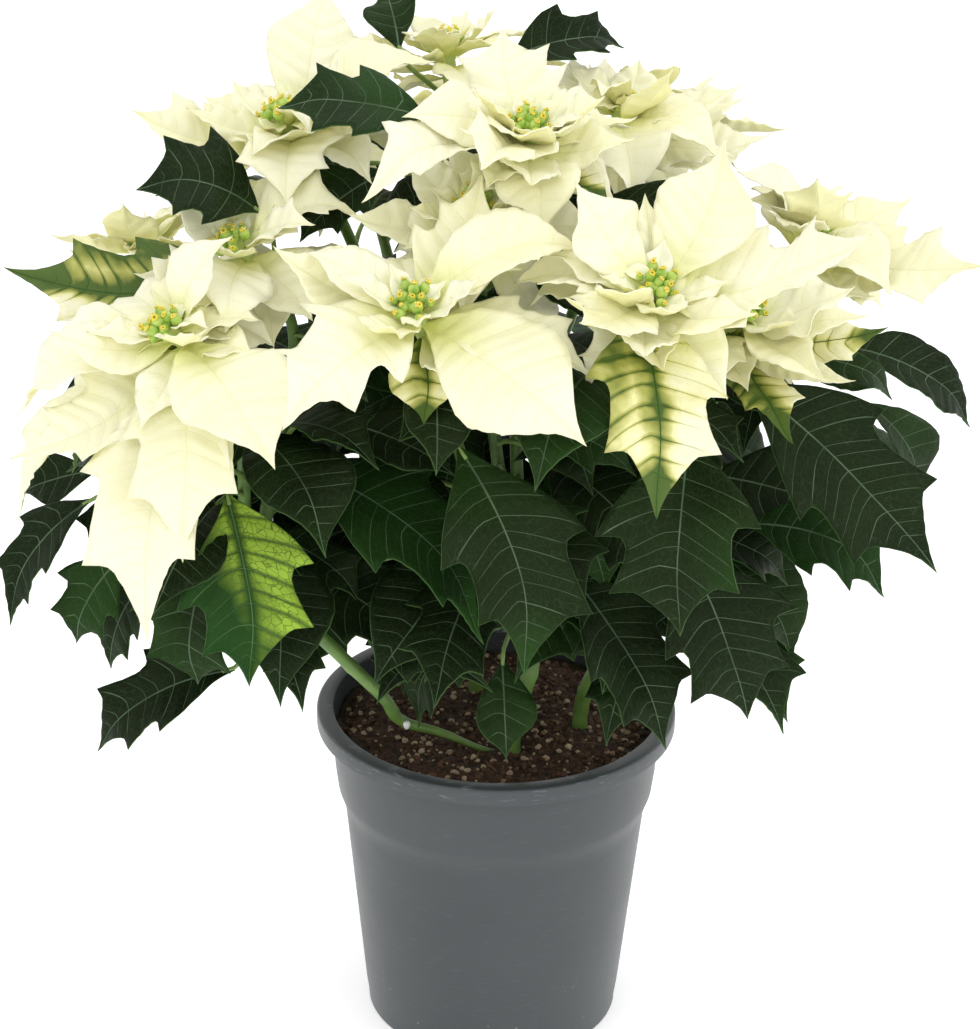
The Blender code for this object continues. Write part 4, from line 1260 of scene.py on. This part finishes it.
def blade_nodes(recipe):
    """What every blade finish reads: nearness to a vein, the midrib and the edge, and the net of veins."""
    times, plus, spread = recipe.times, recipe.plus, recipe.spread
    veins, along = recipe.uv("veins")
    across, edge = recipe.uv("across")
    wrapped = recipe.math("FRACT", veins)
    off = recipe.math("SUBTRACT", 0.5, recipe.math("ABSOLUTE", recipe.math("SUBTRACT", wrapped, 0.5)))
    reach = recipe.math("ABSOLUTE", across)
    side_vein = times(spread(off, 0.006, 0.030, 1.0, 0.0), spread(edge, 0.03, 0.40))
    rib = spread(times(reach, plus(along, 0.7)), 0.020, 0.055, 1.0, 0.0)
    both = recipe.math("MAXIMUM", side_vein, rib)
    vector = recipe.node("ShaderNodeCombineXYZ", {0: veins, 1: across}).outputs[0]
    net = recipe.node("ShaderNodeTexVoronoi", {"Vector": vector, "Scale": 3.2},
                      feature="DISTANCE_TO_EDGE").outputs["Distance"]
    net = spread(net, 0.0, 0.06, 1.0, 0.0)
    return {
        "vein": both, "net": net, "along": along, "edge": edge, "reach": reach, "across": across, "off": off,
    }


def leaf_skin(name, dark, light, vein, rim, roughness, lush, between=None):
    """A leaf's finish: mottled green, pale veins, a fine net and a light rim."""
    recipe = Recipe(name, roughness)
    part = blade_nodes(recipe)
    times, plus, spread, mix = recipe.times, recipe.plus, recipe.spread, recipe.mix
    mottle = spread(recipe.noise(38.0), 0.35, 0.68)
    shade = mix(times(plus(mottle, recipe.tint()), 0.5), dark, light)
    fresh = plus(recipe.noise(17.0, 1.0), times(recipe.tint(), 0.35))
    shade = mix(spread(fresh, 0.70, 0.98, 0.0, 0.85), shade, lush)
    if between:
        patch = plus(recipe.noise(26.0, 2.0), spread(part["across"], -1.6, 2.2, 0.42, 0.0))
        patch = plus(patch, spread(part["along"], 0.1, 0.75, 0.30, 0.0))
        patch = spread(patch, 0.74, 1.02)
        clear = spread(part["off"], 0.02, 0.20, 0.25, 1.0)
        glow = times(patch, clear, spread(part["reach"], 0.05, 0.4))
        shade = mix(glow, shade, between)
        shade = mix(times(part["net"], times(patch, 0.75)), shade, dark)
    shade = mix(times(part["net"], 0.10), shade, vein)
    pale = times(part["vein"], spread(recipe.noise(60.0), 0.3, 0.6, 0.45, 0.95))
    shade = mix(pale, shade, vein)
    shade = mix(spread(part["edge"], 0.008, 0.030, 0.8, 0.0), shade, rim)
    height = plus(times(part["vein"], -0.6), times(part["net"], -0.35))
    height = plus(height, times(recipe.noise(900.0), 0.30))
    recipe.bump(height, 0.55, 0.0005)
    recipe.shader.inputs["Specular IOR Level"].default_value = 0.12
    recipe.shader.inputs["Specular Tint"].default_value = (0.90, 1.0, 0.72, 1.0)
    return recipe.done(shade)


def bract_skin(name, cream, shade_colour, root, vein, blush=None):
    """A bract's finish: ivory, yellower at its root and along its veins."""
    recipe = Recipe(name, 0.52)
    part = blade_nodes(recipe)
    times, plus, spread, mix = recipe.times, recipe.plus, recipe.spread, recipe.mix
    mottle = spread(recipe.noise(24.0), 0.30, 0.72)
    tone = times(plus(mottle, recipe.tint()), 0.5)
    colour = mix(tone, cream, shade_colour)
    near_root = spread(plus(part["along"], times(part["reach"], 0.10)), 0.04, 0.46, 0.85, 0.0)
    colour = mix(near_root, colour, root)
    drawn = 0.42
    if blush:
        green, yellow = blush
        spreads = (
            (part["across"], -0.6, 1.8, 0.0, 0.38), (part["reach"], 0.0, 1.0, 0.46, 0.0),
            (part["along"], 0.0, 0.7, 0.20, 0.0), (part["along"], 0.72, 0.96, 0.0, 0.60),
            (part["off"], 0.0, 0.20, 0.16, 0.0), (recipe.tint(), 0.0, 1.0, -0.20, 0.24),
        )
        amount = plus(times(recipe.noise(46.0, 3.0), 0.80), *(spread(*row) for row in spreads))
        colour = mix(spread(amount, 0.62, 0.98, 0.0, 0.85), colour, yellow)
        colour = mix(spread(amount, 0.80, 1.12, 0.0, 0.92), colour, green)
        drawn = times(spread(part["reach"], 0.1, 2.2, 0.95, 0.35), spread(amount, 0.45, 0.85, 0.35, 1.0))
    colour = mix(times(part["net"], 0.08), colour, vein)
    colour = mix(times(part["vein"], drawn), colour, vein)
    height = plus(times(part["vein"], -0.5), times(part["net"], -0.25))
    height = plus(height, times(recipe.noise(700.0), 0.22))
    recipe.bump(height, 0.45, 0.0004)
    recipe.shader.inputs["Specular IOR Level"].default_value = 0.28
    return recipe.done(colour)


def plain_skin(name, dark, light, roughness, scale, bump=0.25, by_tint=False):
    """A finish that is only mottled: stems, buds, crumbs and grains."""
    recipe = Recipe(name, roughness)
    tone = recipe.spread(recipe.noise(scale), 0.32, 0.70)
    if by_tint:
        tone = recipe.times(recipe.plus(tone, recipe.tint()), 0.5)
    recipe.bump(recipe.noise(scale * 5.0), bump, 0.0004)
    return recipe.done(recipe.mix(tone, dark, light))


def plastic_skin():
    """The pot's plastic: satin slate grey, faint run lines, scuffs on the lip and dust near the foot."""
    recipe = Recipe("pot_plastic_satin", 0.42)
    times, plus, spread, mix = recipe.times, recipe.plus, recipe.spread, recipe.mix
    place = recipe.place()
    parts = recipe.node("ShaderNodeSeparateXYZ", {0: place})
    height = parts.outputs[2]
    cloud = spread(recipe.noise(14.0), 0.3, 0.7)
    colour = mix(cloud, (0.044, 0.051, 0.055), (0.052, 0.060, 0.064))
    stretched = recipe.node("ShaderNodeMapping", {"Vector": place, "Scale": (1.0, 1.0, 9.0)}).outputs[0]
    scuff = recipe.noise(120.0, 6.0, stretched)
    rim = spread(height, 0.148, 0.1555)
    marks = times(spread(scuff, 0.60, 0.70), plus(times(rim, 0.5), 0.10))
    colour = mix(marks, colour, (0.20, 0.215, 0.225))
    specks = recipe.node("ShaderNodeTexVoronoi", {"Vector": place, "Scale": 210.0}).outputs["Distance"]
    low = spread(height, 0.002, 0.045, 1.0, 0.0)
    dust = times(spread(specks, 0.10, 0.16, 1.0, 0.0), times(low, 0.8))
    patchy = spread(recipe.noise(60.0), 0.48, 0.60)
    dust = times(dust, patchy)
    colour = mix(dust, colour, (0.34, 0.30, 0.23))
    recipe.put(recipe.shader.inputs["Roughness"],
               plus(times(recipe.noise(45.0), 0.16), plus(times(marks, 0.3), 0.30)))
    recipe.bump(plus(recipe.noise(1500.0), times(marks, 2.0)), 0.10, 0.0003)
    return recipe.done(colour)


def make_skins():
    """Every finish of the plant, its pot and its soil."""
    dark, light, lush = (0.0050, 0.0115, 0.0026), (0.0115, 0.0245, 0.0060), (0.0150, 0.0500, 0.0070)
    vein, rim = (0.12, 0.185, 0.11), (0.055, 0.115, 0.032)
    cream, warm, root = (0.965, 0.95, 0.75), (0.95, 0.925, 0.61), (0.76, 0.80, 0.18)
    faint = (0.80, 0.82, 0.36)
    green, yellow = (0.020, 0.085, 0.008), (0.74, 0.70, 0.10)
    return {
        "leaf": leaf_skin("leaf_dark", dark, light, vein, rim, 0.48, lush),
        # painted backlight: a lighter green copy of the leaf finish, with the glow of light shining through
        # the leaf painted into its colour
        "painted_backlit": leaf_skin("leaf_painted_backlit", (0.007, 0.027, 0.004), (0.013, 0.052, 0.006), vein, rim, 0.48,
                            (0.030, 0.130, 0.008)),
        "variegated": leaf_skin("leaf_variegated", (0.008, 0.036, 0.007), (0.014, 0.060, 0.010),
                                (0.09, 0.17, 0.06),
                                rim, 0.48, lush, between=(0.30, 0.46, 0.05)),
        "under": leaf_skin("leaf_underside", (0.034, 0.068, 0.036), (0.050, 0.092, 0.046),
                           (0.11, 0.18, 0.09), rim,
                           0.62, (0.05, 0.12, 0.04)),
        "bract": bract_skin("bract_ivory", cream, warm, root, faint),
        "bract_under": bract_skin("bract_underside", (0.94, 0.92, 0.60), (0.92, 0.89, 0.48), root, faint),
        "blush": bract_skin("bract_blush", cream, warm, (0.40, 0.50, 0.10), green, (green, yellow)),
        "blush_under": bract_skin("bract_blush_under", (0.78, 0.78, 0.45), (0.70, 0.72, 0.34),
                                  (0.36, 0.44, 0.14),
                                  (0.20, 0.32, 0.08), ((0.10, 0.20, 0.06), (0.50, 0.54, 0.14))),
        "stem": plain_skin("stem_green", (0.085, 0.17, 0.032), (0.17, 0.30, 0.060), 0.42, 90.0),
        "petiole": plain_skin("stalk_green", (0.16, 0.27, 0.06), (0.26, 0.38, 0.10), 0.42, 120.0),
        "hub": plain_skin("hub_green", (0.42, 0.52, 0.14), (0.58, 0.66, 0.24), 0.45, 120.0),
        "bud": plain_skin("bud_green", (0.26, 0.46, 0.05), (0.56, 0.70, 0.16), 0.38, 260.0),
        "gland": plain_skin("gland_yellow", (0.85, 0.62, 0.03), (0.95, 0.80, 0.10), 0.28, 300.0),
        "stamen": plain_skin("stamen_gold", (0.80, 0.66, 0.10), (0.90, 0.82, 0.26), 0.6, 300.0),
        "plastic": plastic_skin(),
        "peat": plain_skin("peat_dark", (0.026, 0.013, 0.007), (0.095, 0.050, 0.026), 0.92, 300.0, 0.9),
        "crumb": plain_skin("peat_crumb", (0.018, 0.009, 0.005), (0.165, 0.082, 0.042), 0.92, 500.0, 0.6,
                            True),
        "grain": plain_skin("mineral_grain", (0.18, 0.11, 0.055), (0.62, 0.48, 0.32), 0.75, 420.0, 0.5,
                            True),
        "splinter": plain_skin("bark_splinter", (0.07, 0.03, 0.015), (0.26, 0.14, 0.06), 0.8, 400.0, 0.5,
                               True),
        "sap": plain_skin("sap_white", (0.85, 0.85, 0.80), (0.95, 0.95, 0.92), 0.2, 100.0, 0.05),
    }


def make_sap_drop(skins):
    """The drop of white sap on the left stem."""
    deselect()
    stem = smooth_path(fine_stem("left"), 60)
    place = Vector(stem[22]) + Vector((0.0, -STEM_RADIUS * 0.7, STEM_RADIUS * 0.3))
    bpy.ops.mesh.primitive_uv_sphere_add(segments=20, ring_count=12, radius=1.7 * MM, location=place)
    drop = bpy.context.object
    bpy.ops.object.mode_set(mode="EDIT")
    shape = bmesh.from_edit_mesh(drop.data)
    for vert in shape.verts:
        vert.co.z *= 1.7 if vert.co.z < 0 else 0.9
    bmesh.update_edit_mesh(drop.data)
    bpy.ops.object.mode_set(mode="OBJECT")
    apply_all(drop)
    bpy.ops.object.shade_smooth()
    drop.name = drop.data.name = "sap_drop"
    drop.data.materials.append(skins["sap"])
    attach(drop, "root")


def make_stage():
    """A plain white floor with soft light from above, from the left and from behind the camera."""
    deselect()
    bpy.ops.mesh.primitive_plane_add(size=14.0, location=(0.0, 0.0, -0.0004))
    floor = bpy.context.object
    floor.name = "floor"
    white = Recipe("floor_white", 0.9)
    white.shader.inputs["Emission Color"].default_value = (1.0, 1.0, 1.0, 1.0)
    white.shader.inputs["Emission Strength"].default_value = 0.38
    paper = white.mix(white.noise(2.0), (0.92, 0.92, 0.92), (0.925, 0.925, 0.925))
    floor.data.materials.append(white.done(paper))
    world = bpy.data.worlds.new("studio")
    bpy.context.scene.world = world
    world.use_nodes = True
    world.node_tree.nodes["Background"].inputs[0].default_value = (1.0, 1.0, 1.0, 1.0)
    world.node_tree.nodes["Background"].inputs[1].default_value = 1.02
    for name, place, size, power in (("key", (-1.1, -1.5, 2.1), 1.2, 6.0),
                                     ("fill", (1.6, -1.2, 1.3), 1.6, 6.0),
                                     ("top", (0.1, 0.5, 2.3), 1.6, 3.0)):
        lamp = bpy.data.lights.new(name, "AREA")
        lamp.shape = "DISK"
        lamp.size = size
        lamp.energy = power
        holder = bpy.data.objects.new(name, lamp)
        holder.location = place
        holder.rotation_euler = (Vector((0, 0, 0.33)) - Vector(place)).to_track_quat("-Z", "Y").to_euler()
        bpy.context.scene.collection.objects.link(holder)
    bpy.context.scene.view_settings.view_transform = "Standard"


def make_camera():
    """The camera at the photograph's place, looking down on the plant."""
    down, roll = math.radians(CAMERA_DOWN), math.radians(CAMERA_ROLL)
    forward = Vector((0.0, math.cos(down), -math.sin(down)))
    right = Vector((1.0, 0.0, 0.0))
    up = right.cross(forward)
    right, up = right * math.cos(roll) + up * math.sin(roll), up * math.cos(roll) - right * math.sin(roll)
    turned = Matrix((right, up, -forward)).transposed().to_4x4()
    lens = bpy.data.cameras.new("camera")
    lens.sensor_width = SENSOR
    lens.lens = FOCAL_PIXELS / PHOTO_LONG_SIDE * SENSOR
    camera = bpy.data.objects.new("camera", lens)
    camera.matrix_world = Matrix.Translation(CAMERA_PLACE) @ turned
    bpy.context.scene.collection.objects.link(camera)
    bpy.context.scene.camera = camera


def main():
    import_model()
    cad_box = [[float(v) for v in corner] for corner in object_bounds()]
    rng = np.random.default_rng(SEED)
    skins = make_skins()
    plan = plan_plant()
    count = 0
    for group, kind in ((plan[1], "bract"), (plan[2], "leaf")):
        for blades in group.values():
            for blade in blades:
                count += 1
                dress(blade, kind, count)
    more_bracts, more_leaves = extra_blades(plan, (np.array(cad_box[0]), np.array(cad_box[1])))
    masters = [grid_master(cells) for cells in (GRID_LONG, GRID_SHORT)]
    for cutting in CUTTINGS:
        make_plant_piece(cutting, plan, more_leaves, masters, skins)
    for bloom in BLOOMS:
        make_bloom_piece(bloom, plan, more_bracts, masters, skins)
    for master in masters:
        bpy.data.objects.remove(master)
    bud = bud_master(skins)
    for bloom in BLOOMS:
        make_flower_head(bloom, bud, skins)
    bpy.data.objects.remove(bud)
    make_pot_piece(skins)
    make_soil_piece(skins, rng)
    make_sap_drop(skins)
    make_stage()
    make_camera()


main()
